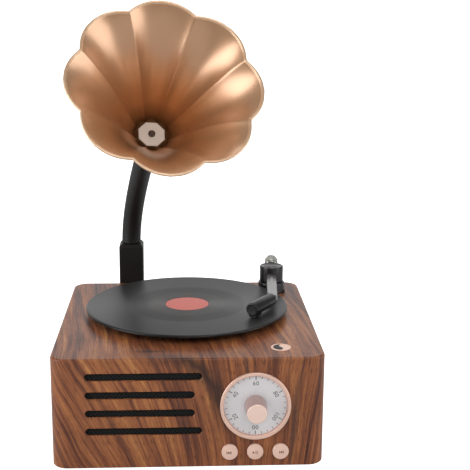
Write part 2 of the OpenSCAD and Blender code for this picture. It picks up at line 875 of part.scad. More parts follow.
module tonearm_nut() {
    color("#8a8a8a") at_arm_pivot() translate([0, 0, ceiling - nut_t]) difference() {
        cylinder(h = nut_t, r = nut_corner_r, $fn = 6);
        translate([0, 0, -EPS]) cylinder(h = nut_t + 2 * EPS, r = base_spigot_r + SEAT);
    }
}

module tonearm_pivot() {
    clip_groove = base_bottom - hub_gap - clip_t;
    color("#c8c8c8") at_arm_pivot() difference() {
        translate([0, 0, clip_groove - 1]) cylinder(h = pivot_top - clip_groove + 1, r = pivot_r);
        translate([0, 0, clip_groove]) difference() {
            cylinder(h = clip_t, r = pivot_r + EPS);
            translate([0, 0, -EPS]) cylinder(h = clip_t + 2 * EPS, r = pivot_r - 0.5);
        }
    }
}

module tonearm_clip() {
    color("#8a8a8a") at_arm_pivot() translate([0, 0, base_bottom - hub_gap - clip_t + 0.03]) difference() {
        cylinder(h = clip_t - 0.06, r = 3.4);
        translate([0, 0, -EPS]) cylinder(h = clip_t + 2 * EPS, r = pivot_r - 0.45);
        translate([0, -1, -EPS]) cube([3.4 + EPS, 2, clip_t + 2 * EPS]);
    }
}

// Turning head with blind seats for the pivot, the arm tube and the counterweight's rod
module tonearm_turret() {
    color("#333335") difference() {
        at_arm_pivot() rotate_extrude() polygon([
            [0, turret_bottom], [turret_r, turret_bottom], [turret_r, turret_top - turret_bevel],
            [turret_r - turret_bevel, turret_top], [0, turret_top]
        ]);
        at_arm_pivot() translate([0, 0, turret_bottom - EPS])
            cylinder(h = pivot_top - turret_bottom + EPS + 0.02, r = pivot_r + SEAT);
        along_arm() translate([0, 0, turret_r - socket_depth]) cylinder(h = socket_depth + EPS, r = arm_r + SEAT);
        along_weight() translate([0, 0, turret_r - 2.5]) cylinder(h = 2.5 + EPS, r = weight_rod_r + SEAT);
    }
}

// Solid ball-jointed arm: straight tube, rounded elbow and a spigot inside the headshell
module arm_tube() {
    color("#a8a8aa") union() {
        along_arm() translate([0, 0, turret_r - socket_depth + 0.02])
            cylinder(h = arm_len - turret_r + socket_depth - 0.02, r = arm_r);
        along_arm() translate([0, 0, arm_len]) sphere(r = arm_r + 0.02);
        along_shell() cylinder(h = shell_start + shell_bore_depth - 0.1, r = spigot_r);
    }
}

module headshell() {
    edge = 0.3;
    color("#1e1e20") difference() {
        along_shell() rotate_extrude() polygon([
            [0, shell_start], [shell_r - edge, shell_start], [shell_r, shell_start + edge],
            [shell_r, shell_len - edge], [shell_r - edge, shell_len], [0, shell_len]
        ]);
        along_shell() translate([0, 0, shell_start - EPS]) cylinder(h = shell_bore_depth + EPS, r = spigot_r + SEAT);
        along_arm() translate([0, 0, arm_len]) sphere(r = arm_r + 0.12);
        along_arm() cylinder(h = arm_len, r = arm_r + 0.1);
        along_shell() translate([-(cartridge_w / 2 + SEAT), -shell_r - EPS, cartridge_at - SEAT])
            cube([cartridge_w + 2 * SEAT, 2 + EPS, cartridge_l + 2 * SEAT]);
    }
}

// Block let into the underside of the headshell, ending just above the record
module cartridge() {
    drop = arm_axis_z - record_top - cartridge_clear;
    color("#0e0e10") along_shell() translate([-cartridge_w / 2, -drop, cartridge_at])
        cube([cartridge_w, drop - shell_r + 2 - SEAT, cartridge_l]);
}

// Local +Z along the counterweight's rod, backwards and slightly up
module along_weight() {
    translate([arm_x, arm_y, weight_rod_z - turret_r * tan(weight_rise)])
        rotate([-90 + weight_rise, 0, -arm_turn]) children();
}

module counterweight() {
    edge = 1.6;
    edge_steps = 5;
    color("#8f8f92") along_weight() union() {
        translate([0, 0, turret_r - 2.4]) cylinder(h = weight_start - turret_r + 3, r = weight_rod_r);
        translate([0, 0, weight_start]) rotate_extrude() polygon(concat(
            [[0, 0]],
            [for (i = [0:edge_steps]) let (a = 90 * i / edge_steps)
                [weight_r - edge + edge * sin(a), edge - edge * cos(a)]],
            [for (i = [0:edge_steps]) let (a = 90 * i / edge_steps)
                [weight_r - edge + edge * cos(a), weight_len - edge + edge * sin(a)]],
            [[0, weight_len]]
        ));
    }
}

// ---------- post, neck and horn ----------

module neck_post() {
    cut = 8;
    color("#151517") difference() {
        translate([post_x - post_w / 2, rear, post_bottom]) cube([post_w, post_d, post_top - post_bottom]);
        for (s = [-1, 1]) {
            translate([post_x + s * post_w / 2, post_y, post_top]) rotate([0, 45, 0])
                cube([post_chamfer * sqrt(2), post_d + cut, post_chamfer * sqrt(2)], center = true);
            translate([post_x, post_y + s * post_d / 2, post_top]) rotate([45, 0, 0])
                cube([post_w + cut, post_chamfer * sqrt(2), post_chamfer * sqrt(2)], center = true);
        }
        translate([post_x, post_y, post_top - neck_spigot_len])
            cylinder(h = neck_spigot_len + EPS, r = neck_spigot_r + 0.06);
        facing_front(post_x, rear + post_d + EPS, set_screw_z)
            cylinder(h = post_d / 2 + EPS, r = set_screw_r + pilot_gap);
        for (z = post_screws_z)
            facing_front(post_x, rear + 8, z) cylinder(h = 8 + EPS, r = m3[0] + pilot_gap);
    }
}

module post_screws() {
    color("#8a8a8a") for (z = post_screws_z)
        facing_front(post_x, rear_in, z) pan_screw(m3, wall + 7);
}

module neck_set_screw() {
    tip_r = groove_r + 0.1;
    color("#8a8a8a") facing_front(post_x, post_y + post_d / 2, set_screw_z) difference() {
        cylinder(h = post_d / 2 - tip_r, r = set_screw_r);
        translate([-set_screw_r, -0.2, -EPS]) cube([2 * set_screw_r, 0.4, 0.6 + EPS]);
    }
}

// Local +Z along the horn's axis, with local z = 0 at the throat floor
module at_throat() {
    translate(throat_pos) rotate([0, 90 - horn_rise, horn_yaw - 90]) children();
}

// Bent tube with a straight upper end, lofted through its stations: bore upwards, outside downwards
module neck_tube() {
    last = len(neck_stations) - 1;
    walls = concat(
        [for (i = [0:last]) concat(neck_stations[i], neck_bore_r)],
        [for (i = [last:-1:0]) concat(neck_stations[i], neck_r)]
    );
    points = [for (w = walls, j = [0:neck_sides - 1])
        let (b = 360 * j / neck_sides, across = neck_side - (neck_side * w[1]) * w[1], side = across / norm(across))
        w[0] + w[2] * (cos(b) * cross(side, w[1]) + sin(b) * side)];
    color("#1a1a1c") polyhedron(points, skin_faces(len(walls), neck_sides), convexity = 6);
}

// Turned spigot pressed into the neck's lower end; its groove takes the set screw's tip
module neck_spigot() {
    bottom = post_top - neck_spigot_len + 0.1;
    press_r = neck_bore_r - 0.06;
    color("#6f6f72") translate([post_x, post_y, 0]) rotate_extrude() polygon([
        [0, bottom], [neck_spigot_r, bottom],
        [neck_spigot_r, set_screw_z - groove_h / 2], [groove_r, set_screw_z - groove_h / 2],
        [groove_r, set_screw_z + groove_h / 2], [neck_spigot_r, set_screw_z + groove_h / 2],
        [neck_spigot_r, neck_start], [press_r, neck_start],
        [press_r, neck_start + spigot_lap], [0, neck_start + spigot_lap]
    ]);
}

// Threaded plug glued into the end of the neck for the throat screw
module neck_plug() {
    color("#8a8a8a") at_throat() translate([0, 0, -bell_t - plug_len]) difference() {
        cylinder(h = plug_len, r = neck_bore_r - SEAT);
        translate([0, 0, 1]) cylinder(h = plug_len, r = m2[0] + pilot_gap);
    }
}

// Radius of the fluted section over its cusp radius, at an angle measured from the first cusp
function flute(angle) =
    let (p = angle - petal_angle * floor(angle / petal_angle) - petal_angle / 2)
    petal_arc_at * cos(p) + sqrt(pow(petal_arc_r, 2) - pow(petal_arc_at * sin(p), 2));

// Place along the axis and cusp radius of the inner surface, from the throat (x = 0) to the rim (x = 1)
function bell_point(x) = [
    bell_depth * (1 - pow(1 - lip_at * x, flare)) / (1 - pow(1 - lip_at, flare)),
    throat_r + (cusp_r - throat_r) * x
];

// Unit normal of the cusp line there, pointing out of the bell
function bell_normal(x) =
    let (along = lip_at * bell_depth * flare * pow(1 - lip_at * x, flare - 1), out = cusp_r - throat_r,
        n = norm([along, out]))
    [-out / n, along / n];

// Closed section of the sheet: [along, radius, share of fluting]
bell_section = concat(
    [[0, bell_hole_r, 0]],
    [for (i = [0:bell_rings]) let (p = bell_point(i / bell_rings)) [p[0], p[1], 1]],
    [for (i = [bell_rings:-1:0])
        let (x = i / bell_rings, p = bell_point(x) + bell_t * bell_normal(x)) [p[0], p[1], 1]],
    [[-bell_t, throat_r, 1], [-bell_t, bell_hole_r, 0]]
);

// Petal horn of sheet metal, with a small hole in its throat floor
module horn_bell() {
    points = [for (ring = bell_section, j = [0:bell_steps - 1])
        let (a = 360 * j / bell_steps, r = ring[1] * (1 + ring[2] * (flute(a) - 1)))
        [r * cos(a + petal_turn), r * sin(a + petal_turn), ring[0]]];
    color("#b98559") at_throat()
        polyhedron(points, skin_faces(len(bell_section), bell_steps), convexity = 8);
}

// Octagonal clamp plate with its corners towards the creases
module throat_plate() {
    color("#c9bda9") at_throat() rotate([0, 0, petal_turn]) difference() {
        cylinder(h = throat_plate_t, r = throat_plate_r, $fn = 8);
        translate([0, 0, -EPS]) cylinder(h = throat_plate_t + 2 * EPS, r = m2[0] + 0.2);
    }
}

module throat_screw() {
    color("#7a726a") at_throat() translate([0, 0, throat_plate_t]) pan_screw(m2, throat_screw_len);
}

// ---------- nodes ----------

case_shell();
bottom_cover();
cover_screws();
feet();
grille_cloth();
speaker_baffle();
baffle_screws();
speaker_frame();
speaker_surround();
speaker_cone();
speaker_dust_cap();
voice_coil();
speaker_magnet();
speaker_yoke();
speaker_screws();
dial_ring();
dial_plate();
potentiometer();
pot_shaft();
volume_knob();
control_board();
tact_switches();
button_previous();
button_play();
button_next();
main_board();
board_components();
board_screws();
usb_socket();
battery();
battery_tray();
badge();
spindle_bush();
platter_hub();
record_disc();
record_label();
spindle_clip();
tonearm_base();
tonearm_nut();
tonearm_pivot();
tonearm_turret();
tonearm_clip();
arm_tube();
headshell();
cartridge();
counterweight();
neck_post();
post_screws();
neck_set_screw();
neck_tube();
neck_spigot();
neck_plug();
horn_bell();
throat_plate();
throat_screw();
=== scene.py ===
"""Looks of a table-top horn loudspeaker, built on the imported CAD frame.

Shapes are written in millimetres, in the frame of the CAD: x to the right, y to the rear, z up from
the standing plane. The named sizes repeat those of the part's source.
"""

import math

import bmesh
import bpy
from mathutils import Matrix, Vector


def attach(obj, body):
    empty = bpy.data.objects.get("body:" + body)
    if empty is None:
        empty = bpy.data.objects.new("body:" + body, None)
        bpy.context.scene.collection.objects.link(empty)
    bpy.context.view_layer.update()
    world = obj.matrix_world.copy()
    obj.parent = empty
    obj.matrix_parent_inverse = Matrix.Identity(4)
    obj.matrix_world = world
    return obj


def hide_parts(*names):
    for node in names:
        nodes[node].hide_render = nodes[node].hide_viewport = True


MM = 0.001
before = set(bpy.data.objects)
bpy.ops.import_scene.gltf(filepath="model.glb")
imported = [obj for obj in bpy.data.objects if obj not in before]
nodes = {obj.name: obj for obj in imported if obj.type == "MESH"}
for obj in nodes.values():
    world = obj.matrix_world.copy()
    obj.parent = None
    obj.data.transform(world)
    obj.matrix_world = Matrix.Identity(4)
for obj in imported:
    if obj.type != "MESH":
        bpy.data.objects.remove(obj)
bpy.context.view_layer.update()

# ---------- sizes, in millimetres ----------

FOOT_H = 1.5
CASE_W = CASE_D = 120.0
CASE_H = 50.6
CASE_TOP = FOOT_H + CASE_H
CORNER_R = 7.0
WALL = 4.0
FRONT = -CASE_D / 2
REAR = CASE_D / 2
CEILING = CASE_TOP - WALL
COVER_TOP = FOOT_H + 2.4

SLOT_LEFT = -45.0
SLOT_LENGTHS = (50.9, 47.7, 47.7, 50.9)
SLOT_H = 3.3
SLOT_PITCH = 8.4
SLOT_TOP_Z = 43.7
SLOT_WALL = 1.2
CLOTH_W, CLOTH_H = 53.4, 31.8
SLOTS_X = SLOT_LEFT + SLOT_LENGTHS[0] / 2
SLOTS_Z = SLOT_TOP_Z - 1.5 * SLOT_PITCH

DIAL_X, DIAL_Z = 29.3, 29.9
RING_R, RING_W, RING_PROUD = 15.6, 1.6, 0.9
DIAL_RECESS, PLATE_T = 1.8, 1.2
PLATE_R = RING_R - RING_W - 0.05
KNOB_BASE_R, KNOB_FACE_R, KNOB_REACH = 4.85, 4.4, 9.3
SHAFT_R = 2.0
NUMBER_H, NUMBER_AT = 2.75, 10.2
MARK_COUNT, MARK_OUTER = 30, 13.55

BOSS_XS, BOSS_YS, BOSS_R = (-52.5, 52.5), (FRONT + 16, REAR - 8), 4.5
BOARD_BOSS_XS, BOARD_BOSS_ZS, BOARD_BOSS_R, BOARD_BOSS_L = (-14.9, 14.9), (18, 37), 2.6, 6.4
BUSH_HOLE_R, ARM_HOLE_R = 5.02, 4.02
POST_HOLE_ZS, POST_HOLE_R = (20, 40), 1.6
USB_X, USB_Z, USB_W, USB_H = 21, FOOT_H + 11.23, 9.34, 3.66

BUTTON_Z, BUTTON_PITCH, BUTTON_R, BUTTON_PROUD = 8.6, 11.25, 3.6, 1.5
BADGE_X, BADGE_Y, BADGE_R, BADGE_RECESS, BADGE_T = 41.2, -47.0, 4.5, 0.4, 0.7

RECORD_Y, RECORD_R = 6.6, 49.3
RECORD_BOTTOM, RECORD_TOP = CASE_TOP + 2.9, CASE_TOP + 4.3
LABEL_R, LABEL_RECESS, LABEL_T = 10.6, 0.3, 0.24
PIN_R = 1.52

ARM_X, ARM_Y, ARM_Z = 44.8, 42.5, CASE_TOP + 8.7
ARM_BASE_R, ARM_BASE_TOP = 7.4, CASE_TOP + 5.5
TURRET_R, TURRET_BOTTOM, TURRET_TOP = 6.15, CASE_TOP + 5.6, CASE_TOP + 14.0
ARM_LEN, ARM_TURN, ARM_R = 43.3, 4.37, 2.55
SHELL_TURN, SHELL_LEN, SHELL_R, SHELL_START = 28.0, 21.2, 3.2, 1.6
CARTRIDGE_W, CARTRIDGE_L, CARTRIDGE_AT = 4.2, 5.5, 15.0
WEIGHT_R, WEIGHT_LEN, WEIGHT_RISE, WEIGHT_START, WEIGHT_ROD_R = 3.5, 7.6, 15.0, 8.2, 1.3

POST_X, POST_W, POST_D = -29.8, 12.8, 13.6
POST_Y = REAR + POST_D / 2
POST_BOTTOM, POST_TOP = FOOT_H + 6.5, 73.1
NECK_R, NECK_LIFT, NECK_PULL, NECK_STRAIGHT = 5.05, 14.0, 44.0, 12.0
NECK_START, NECK_WALL = POST_TOP + 0.05, 1.15
THROAT = Vector((-17.0, 16.8, 138.56))
HORN_YAW, HORN_RISE = 11.86, 35.88
BELL_T = 1.0
SPIGOT_R, SET_SCREW_R, SET_SCREW_DOWN = 4.06, 1.55, 12

PETALS, PETAL_TURN, PETAL_BULGE = 8, 17.77, 1.1063
BELL_DEPTH, CUSP_R, THROAT_R, FLARE, LIP_AT = 46.4, 40.35, 7.6, 1.35, 0.93
PLATE8_R, PLATE8_T, PLATE8_HOLE_R = 6.9, 0.8, 1.2
SCREW_R, SCREW_HEAD_R, SCREW_HEAD_H, SCREW_LEN = 0.95, 1.7, 1.3, 8


# ---------- placing and mesh making ----------

def turned(axis, degrees):
    return Matrix.Rotation(math.radians(degrees), 4, axis)


def moved(x, y, z):
    return Matrix.Translation((x, y, z))


def facing_front(x, y, z):
    """Local x is right, local y is up and local z points out of the front wall."""
    return moved(x, y, z) @ turned("X", 90)


AT_RECORD = moved(0, RECORD_Y, 0)
AT_ARM = moved(ARM_X, ARM_Y, 0)
ALONG_ARM = moved(ARM_X, ARM_Y, ARM_Z) @ turned("Z", -ARM_TURN) @ turned("X", 90)
ALONG_SHELL = ALONG_ARM @ moved(0, 0, ARM_LEN) @ turned("Y", -SHELL_TURN)
WEIGHT_Z = TURRET_TOP - 3.2 - TURRET_R * math.tan(math.radians(WEIGHT_RISE))
ALONG_WEIGHT = moved(ARM_X, ARM_Y, WEIGHT_Z) @ turned("Z", -ARM_TURN) @ turned("X", -90 + WEIGHT_RISE)
DIAL_FACE = facing_front(DIAL_X, FRONT, DIAL_Z)


def horn_axis():
    yaw, rise = math.radians(HORN_YAW), math.radians(HORN_RISE)
    return Vector((math.sin(yaw) * math.cos(rise), -math.cos(yaw) * math.cos(rise), math.sin(rise)))


def neck_curve(t):
    """Centre of the neck and its direction, from the post (t = 0) to the straight end (t = 1)."""
    foot, top = Vector((POST_X, POST_Y, NECK_START)), THROAT - (NECK_STRAIGHT + BELL_T) * horn_axis()
    a, b, c, d = foot, foot + Vector((0, 0, NECK_LIFT)), top - NECK_PULL * horn_axis(), top
    point = (1 - t) ** 3 * a + 3 * (1 - t) ** 2 * t * b + 3 * (1 - t) * t * t * c + t ** 3 * d
    heading = (1 - t) ** 2 * (b - a) + 2 * (1 - t) * t * (c - b) + t * t * (d - c)
    return point, heading.normalized()


AT_THROAT = Matrix.Translation(THROAT) @ turned("Z", HORN_YAW - 90) @ turned("Y", 90 - HORN_RISE)


def linked(name, data):
    """A new object in the scene."""
    obj = bpy.data.objects.new(name, data)
    bpy.context.scene.collection.objects.link(obj)
    return obj


def baked(obj):
    """The object's mesh after its modifiers, or of its curve."""
    return bpy.data.meshes.new_from_object(obj.evaluated_get(bpy.context.evaluated_depsgraph_get()))


def point_values(obj, name, values):
    """Stores one number per point for the materials."""
    obj.data.attributes.new(name, "FLOAT", "POINT").data.foreach_set("value", values)


def new_object(name, verts, faces, place=Matrix.Identity(4)):
    """A mesh object from points in millimetres, put in place in the row frame."""
    mesh = bpy.data.meshes.new(name)
    mesh.from_pydata([(place @ Vector(v)) * MM for v in verts], [], faces)
    bm = bmesh.new()
    bm.from_mesh(mesh)
    bmesh.ops.remove_doubles(bm, verts=bm.verts, dist=1e-7)
    bmesh.ops.recalc_face_normals(bm, faces=bm.faces)
    bm.to_mesh(mesh)
    bm.free()
    return linked(name, mesh)


def fillet(corners, steps=5):
    """A 2D line through corners (x, y), or (x, y, radius) where the corner becomes an arc."""
    line = []
    for i, corner in enumerate(corners):
        here = Vector(corner[:2])
        radius = corner[2] if len(corner) > 2 else 0
        if not radius or i in (0, len(corners) - 1):
            line.append(tuple(here))
            continue
        before = (Vector(corners[i - 1][:2]) - here).normalized()
        after = (Vector(corners[i + 1][:2]) - here).normalized()
        half = before.angle(after) / 2
        reach = radius / math.tan(half)
        centre = here + (before + after).normalized() * radius / math.sin(half)
        start, end = here + before * reach - centre, here + after * reach - centre
        turn = start.angle_signed(end)
        for k in range(steps + 1):
            a = -turn * k / steps
            x = start.x * math.cos(a) - start.y * math.sin(a)
            y = start.x * math.sin(a) + start.y * math.cos(a)
            line.append((centre.x + x, centre.y + y))
    return line


def lathe(name, profile, place, steps=96):
    """Turns a profile of (radius, height) points round local z."""
    verts, faces = [], []
    for r, z in profile:
        for j in range(steps):
            a = 2 * math.pi * j / steps
            verts.append((r * math.cos(a), r * math.sin(a), z))
    for i in range(len(profile) - 1):
        for j in range(steps):
            j2 = (j + 1) % steps
            quad = (i * steps + j, i * steps + j2, (i + 1) * steps + j2, (i + 1) * steps + j)
            if profile[i][0] < 1e-6:
                quad = (i * steps, quad[2], quad[3])
            elif profile[i + 1][0] < 1e-6:
                quad = (quad[0], quad[1], (i + 1) * steps)
            faces.append(quad)
    obj = new_object(name, verts, faces, place)
    tidy(obj)
    return obj


def loft(name, rings, place=Matrix.Identity(4), capped=True):
    """Joins rings of equally many points, each a list of (x, y, z), and caps both ends."""
    count = len(rings[0])
    verts = [p for ring in rings for p in ring]
    faces = []
    for i in range(len(rings) - 1):
        for j in range(count):
            j2 = (j + 1) % count
            faces.append((i * count + j, i * count + j2, (i + 1) * count + j2, (i + 1) * count + j))
    if capped:
        faces.append(tuple(range(count)))
        faces.append(tuple(range((len(rings) - 1) * count, len(rings) * count)))
    return new_object(name, verts, faces, place)


def tidy(obj):
    """Drops loose points and faces without area."""
    bm = bmesh.new()
    bm.from_mesh(obj.data)
    bmesh.ops.dissolve_degenerate(bm, edges=bm.edges, dist=1e-7)
    loose = [v for v in bm.verts if not v.link_faces]
    bmesh.ops.delete(bm, geom=loose, context="VERTS")
    bmesh.ops.recalc_face_normals(bm, faces=bm.faces)
    bm.to_mesh(obj.data)
    bm.free()


def rounded_rectangle(w, d, r, steps=14):
    points = []
    for k, (sx, sy) in enumerate(((1, 1), (-1, 1), (-1, -1), (1, -1))):
        for i in range(steps + 1):
            a = math.radians(90 * (k + i / steps))
            points.append((sx * (w / 2 - r) + r * math.cos(a), sy * (d / 2 - r) + r * math.sin(a)))
    return points


def stadium(length, height, grow=0.0, steps=12):
    r = height / 2 + grow
    x = length / 2 - height / 2
    points = []
    for side in (0, 1):
        for i in range(steps + 1):
            a = math.radians(-90 + 180 * (side + i / steps))
            points.append(((x if side == 0 else -x) + r * math.cos(a), r * math.sin(a)))
    return points


def prism(name, outline_at, levels, place=Matrix.Identity(4)):
    """Lofts outline_at(grow) through (height, grow) levels."""
    return loft(name, [[(x, y, z) for x, y in outline_at(grow)] for z, grow in levels], place)


def circle(r, steps=72):
    return [(r * math.cos(2 * math.pi * i / steps), r * math.sin(2 * math.pi * i / steps))
            for i in range(steps)]


def cut(obj, outline_at, levels, place=Matrix.Identity(4), operation="DIFFERENCE"):
    """Cuts a prism out of obj, or adds it."""
    tool = prism("tool", outline_at, levels, place)
    modifier = obj.modifiers.new("cut", "BOOLEAN")
    modifier.operation = operation
    modifier.solver = "EXACT"
    modifier.object = tool
    result = baked(obj)
    obj.modifiers.remove(modifier)
    obj.data = result
    bpy.data.objects.remove(tool)


def bore(obj, radius, levels, place, steps=72, operation="DIFFERENCE"):
    """Cuts a round hole, or adds a round boss."""
    cut(obj, lambda g: circle(radius + g, steps), levels, place, operation)


def bevel(obj, width):
    """Small rounded edges."""
    modifier = obj.modifiers.new("edges", "BEVEL")
    modifier.width, modifier.segments, modifier.limit_method = width * MM, 3, "ANGLE"


def shade(obj, angle=32, weighted=False):
    for polygon in obj.data.polygons:
        polygon.use_smooth = True
    obj.data.set_sharp_from_angle(angle=math.radians(angle))
    if weighted:
        modifier = obj.modifiers.new("normals", "WEIGHTED_NORMAL")
        modifier.keep_sharp = True


def piece(obj, body, slot, replaces=(), look=None, angle=32, weighted=False):
    """Gives a finished mesh its shading, its body, and the material of its slot, or the one look names.
    """
    shade(obj, angle, weighted)
    obj.data.materials.clear()
    obj.data.materials.append(MATERIALS[look or slot])
    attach(obj, body)
    if replaces:
        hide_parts(*replaces)


# ---------- materials ----------

def rgb(code):
    """Linear colour of a hex code."""
    values = [int(code[i:i + 2], 16) / 255 for i in (0, 2, 4)]
    return tuple(v / 12.92 if v <= 0.04045 else ((v + 0.055) / 1.055) ** 2.4 for v in values) + (1.0,)


MATERIALS = {}


class Shader:
    """Builds one material's nodes."""

    def __init__(self, name, **principled):
        self.material = MATERIALS[name] = bpy.data.materials.new(name)
        self.material.use_nodes = True
        self.tree = self.material.node_tree
        self.bsdf = self.tree.nodes["Principled BSDF"]
        self.finish(**principled)

    def feed(self, socket, value):
        if isinstance(value, bpy.types.NodeSocket):
            self.tree.links.new(value, socket)
        else:
            socket.default_value = value

    def node(self, kind, inputs=None, output=0, **properties):
        made = self.tree.nodes.new(kind)
        for key, value in properties.items():
            setattr(made, key, value)
        for key, value in (inputs or {}).items():
            self.feed(made.inputs[key], value)
        return made.outputs[output]

    def math(self, operation, a, b=0.0):
        return self.node("ShaderNodeMath", {0: a, 1: b}, operation=operation)

    def place(self):
        """Object coordinates in millimetres."""
        point = self.node("ShaderNodeTexCoord", output=3)
        return self.node("ShaderNodeVectorMath", {0: point, 3: 1 / MM}, operation="SCALE")

    def stretch(self, vector, scale):
        return self.node("ShaderNodeVectorMath", {0: vector, 1: scale}, operation="MULTIPLY")

    def distance(self, point, centre, squash=(1, 1, 1)):
        """Length of the way from centre, each axis scaled by squash."""
        offset = self.node("ShaderNodeVectorMath", {0: point, 1: centre}, operation="SUBTRACT")
        scaled = self.stretch(offset, squash)
        return self.node("ShaderNodeVectorMath", {0: scaled}, 1, operation="LENGTH")

    def attribute(self, name):
        return self.node("ShaderNodeAttribute", output=2, attribute_name=name)

    def noise(self, vector, scale=1.0, detail=3.0, roughness=0.55):
        return self.node("ShaderNodeTexNoise", {
            "Vector": vector, "Scale": scale, "Detail": detail, "Roughness": roughness})

    def ramp(self, value, stops):
        made = self.tree.nodes.new("ShaderNodeValToRGB")
        while len(made.color_ramp.elements) < len(stops):
            made.color_ramp.elements.new(0.5)
        for element, (position, colour) in zip(made.color_ramp.elements, stops):
            element.position = position
            element.color = rgb(colour) if isinstance(colour, str) else (colour, colour, colour, 1)
        self.feed(made.inputs[0], value)
        return made.outputs[0]

    def mix(self, amount, a, b, kind="MIX"):
        made = self.tree.nodes.new("ShaderNodeMix")
        made.data_type = "RGBA"
        made.blend_type = kind
        self.feed(made.inputs[0], amount)
        self.feed(made.inputs[6], a)
        self.feed(made.inputs[7], b)
        return made.outputs[2]

    def tone(self, amount, colour, other):
        """Between two hex colours."""
        return self.mix(amount, rgb(colour), rgb(other))

    def add(self, a, b):
        return self.math("ADD", a, b)

    def times(self, a, b):
        return self.math("MULTIPLY", a, b)

    def darken(self, colour, shares):
        """The colour multiplied by a grey share."""
        return self.mix(1.0, colour, shares, "MULTIPLY")

    def bump(self, height, distance, strength=0.5):
        return self.node("ShaderNodeBump", {
            "Height": height, "Distance": distance * MM, "Strength": strength})

    def finish(self, **principled):
        """Feeds the shader's own sockets, named with _ for each space."""
        for key, value in principled.items():
            self.feed(self.bsdf.inputs[key.replace("_", " ")], value)


def wood():
    """Printed walnut grain on the wrap coordinates: leaning at the left, upright at the right."""
    s = Shader("wood_case")
    uv = s.node("ShaderNodeUVMap", uv_map="wrap")
    parts = s.tree.nodes.new("ShaderNodeSeparateXYZ")
    s.feed(parts.inputs[0], uv)
    u, v = parts.outputs[0], parts.outputs[1]

    def strands(width, length, detail, roughness=0.55):
        """Noise drawn out along the grain, from strands of that size in millimetres."""
        return s.noise(s.stretch(grain, (1 / width, 1 / length, 1)), 1.0, detail, roughness)

    lean = s.add(s.times(u, -0.0062), 0.2)
    lean = s.math("MAXIMUM", s.math("MINIMUM", lean, 0.5), -0.1)
    on_front = s.times(s.math("MINIMUM", v, CASE_TOP), lean)
    on_top = s.times(s.math("MAXIMUM", s.math("SUBTRACT", v, CASE_TOP), 0.0), 0.1)
    sway = s.noise(s.stretch(uv, (1 / 40, 1 / 60, 1)), detail=1.5)
    sway = s.times(s.math("SUBTRACT", sway, 0.5), 8.0)
    across = s.add(s.add(u, s.add(on_front, on_top)), sway)
    grain = s.node("ShaderNodeCombineXYZ", {0: across, 1: v})
    broad = strands(8, 120, 2.0)
    streak = strands(1.9, 60, 4.0, 0.6)
    fine = strands(0.55, 20, 3.0, 0.6)
    pores = strands(0.35, 4, 1.0)
    tone = s.add(s.times(broad, 0.38), s.times(streak, 0.38))
    tone = s.add(tone, s.times(fine, 0.24))
    colour = s.ramp(tone, [
        (0.36, "3c2521"), (0.43, "613728"), (0.49, "875135"), (0.55, "a2653e"), (0.63, "bd8451")])
    vein = s.ramp(strands(4.2, 150, 2.0), [(0.3, 0.9), (0.36, 0.55), (0.42, 0.0)])
    colour = s.mix(vein, colour, rgb("412d2c"))
    # dark heartwood arc, and a streak on the top that is partly knotted grain and partly painted shadow
    # of the record
    colour = s.mix(figure_and_record_shadow(s, uv, sway), colour, rgb("33231f"))
    fleck = s.ramp(pores, [(0.58, 0.0), (0.7, 0.6)])
    colour = s.mix(fleck, colour, rgb("35241e"))
    rough = s.ramp(fine, [(0.3, 0.36), (0.7, 0.27)])
    normal = s.bump(s.math("SUBTRACT", fine, s.times(fleck, 0.6)), 0.05)
    s.finish(Base_Color=colour, Roughness=rough, Normal=normal, Specular_IOR_Level=0.3)


def figure_and_record_shadow(s, uv, sway):
    """Share of dark colour: an arc of heartwood over the front edge, and a small dark streak on the top
    in front of the record, partly knotted grain and partly painted shadow of the record.
    """
    arc_centre, arc_r, arc_w = (-12.0, 24.0, 0), 27.5, 5.0
    patch_centre, patch_r = (8.0, 44.0, 0), 30.0
    # the streak in front of the record: partly knotted grain, partly painted shadow of the record
    knot_and_shadow_centre, knot_and_shadow_r = (-17.0, 61.5, 0), 3.0
    rough_edge = s.times(s.noise(s.stretch(uv, (1 / 3, 1 / 6, 1)), detail=3.0), 3.0)
    from_centre = s.add(s.distance(uv, arc_centre, (1, 0.86, 1)), rough_edge)
    arc = s.math("ABSOLUTE", s.math("SUBTRACT", from_centre, arc_r))
    arc = s.ramp(s.math("DIVIDE", arc, arc_w), [(0.0, 0.9), (0.4, 0.6), (1.0, 0.0)])
    near = s.ramp(s.math("DIVIDE", s.distance(uv, patch_centre), patch_r), [(0.4, 1.0), (0.95, 0.0)])
    knot_and_shadow = s.times(rough_edge, 0.3)
    knot_and_shadow = s.add(s.distance(uv, knot_and_shadow_centre, (0.22, 1.0, 1)), knot_and_shadow)
    knot_and_shadow = s.ramp(s.math("DIVIDE", knot_and_shadow, knot_and_shadow_r), [(0.3, 0.8), (0.8, 0.0)])
    return s.math("MAXIMUM", s.times(arc, near), knot_and_shadow)


def moulded(name, colour, rough=0.45, grain=0.35, depth=0.03, other=None, specular=0.5):
    """Moulded plastic or rubber: a fine texture, and slow changes of tone and gloss."""
    s = Shader(name)
    point = s.place()
    slow = s.noise(point, 0.12, 2.0)
    texture = s.noise(point, 1 / grain, 3.0)
    base = s.tone(slow, colour, other or colour)
    shade_of = s.ramp(texture, [(0.3, 0.86), (0.7, 1.0)])
    base = s.darken(base, shade_of)
    gloss = s.add(s.times(slow, 0.12), rough - 0.06)
    s.finish(Base_Color=base, Roughness=gloss, Normal=s.bump(texture, depth, 0.6),
             Specular_IOR_Level=specular)


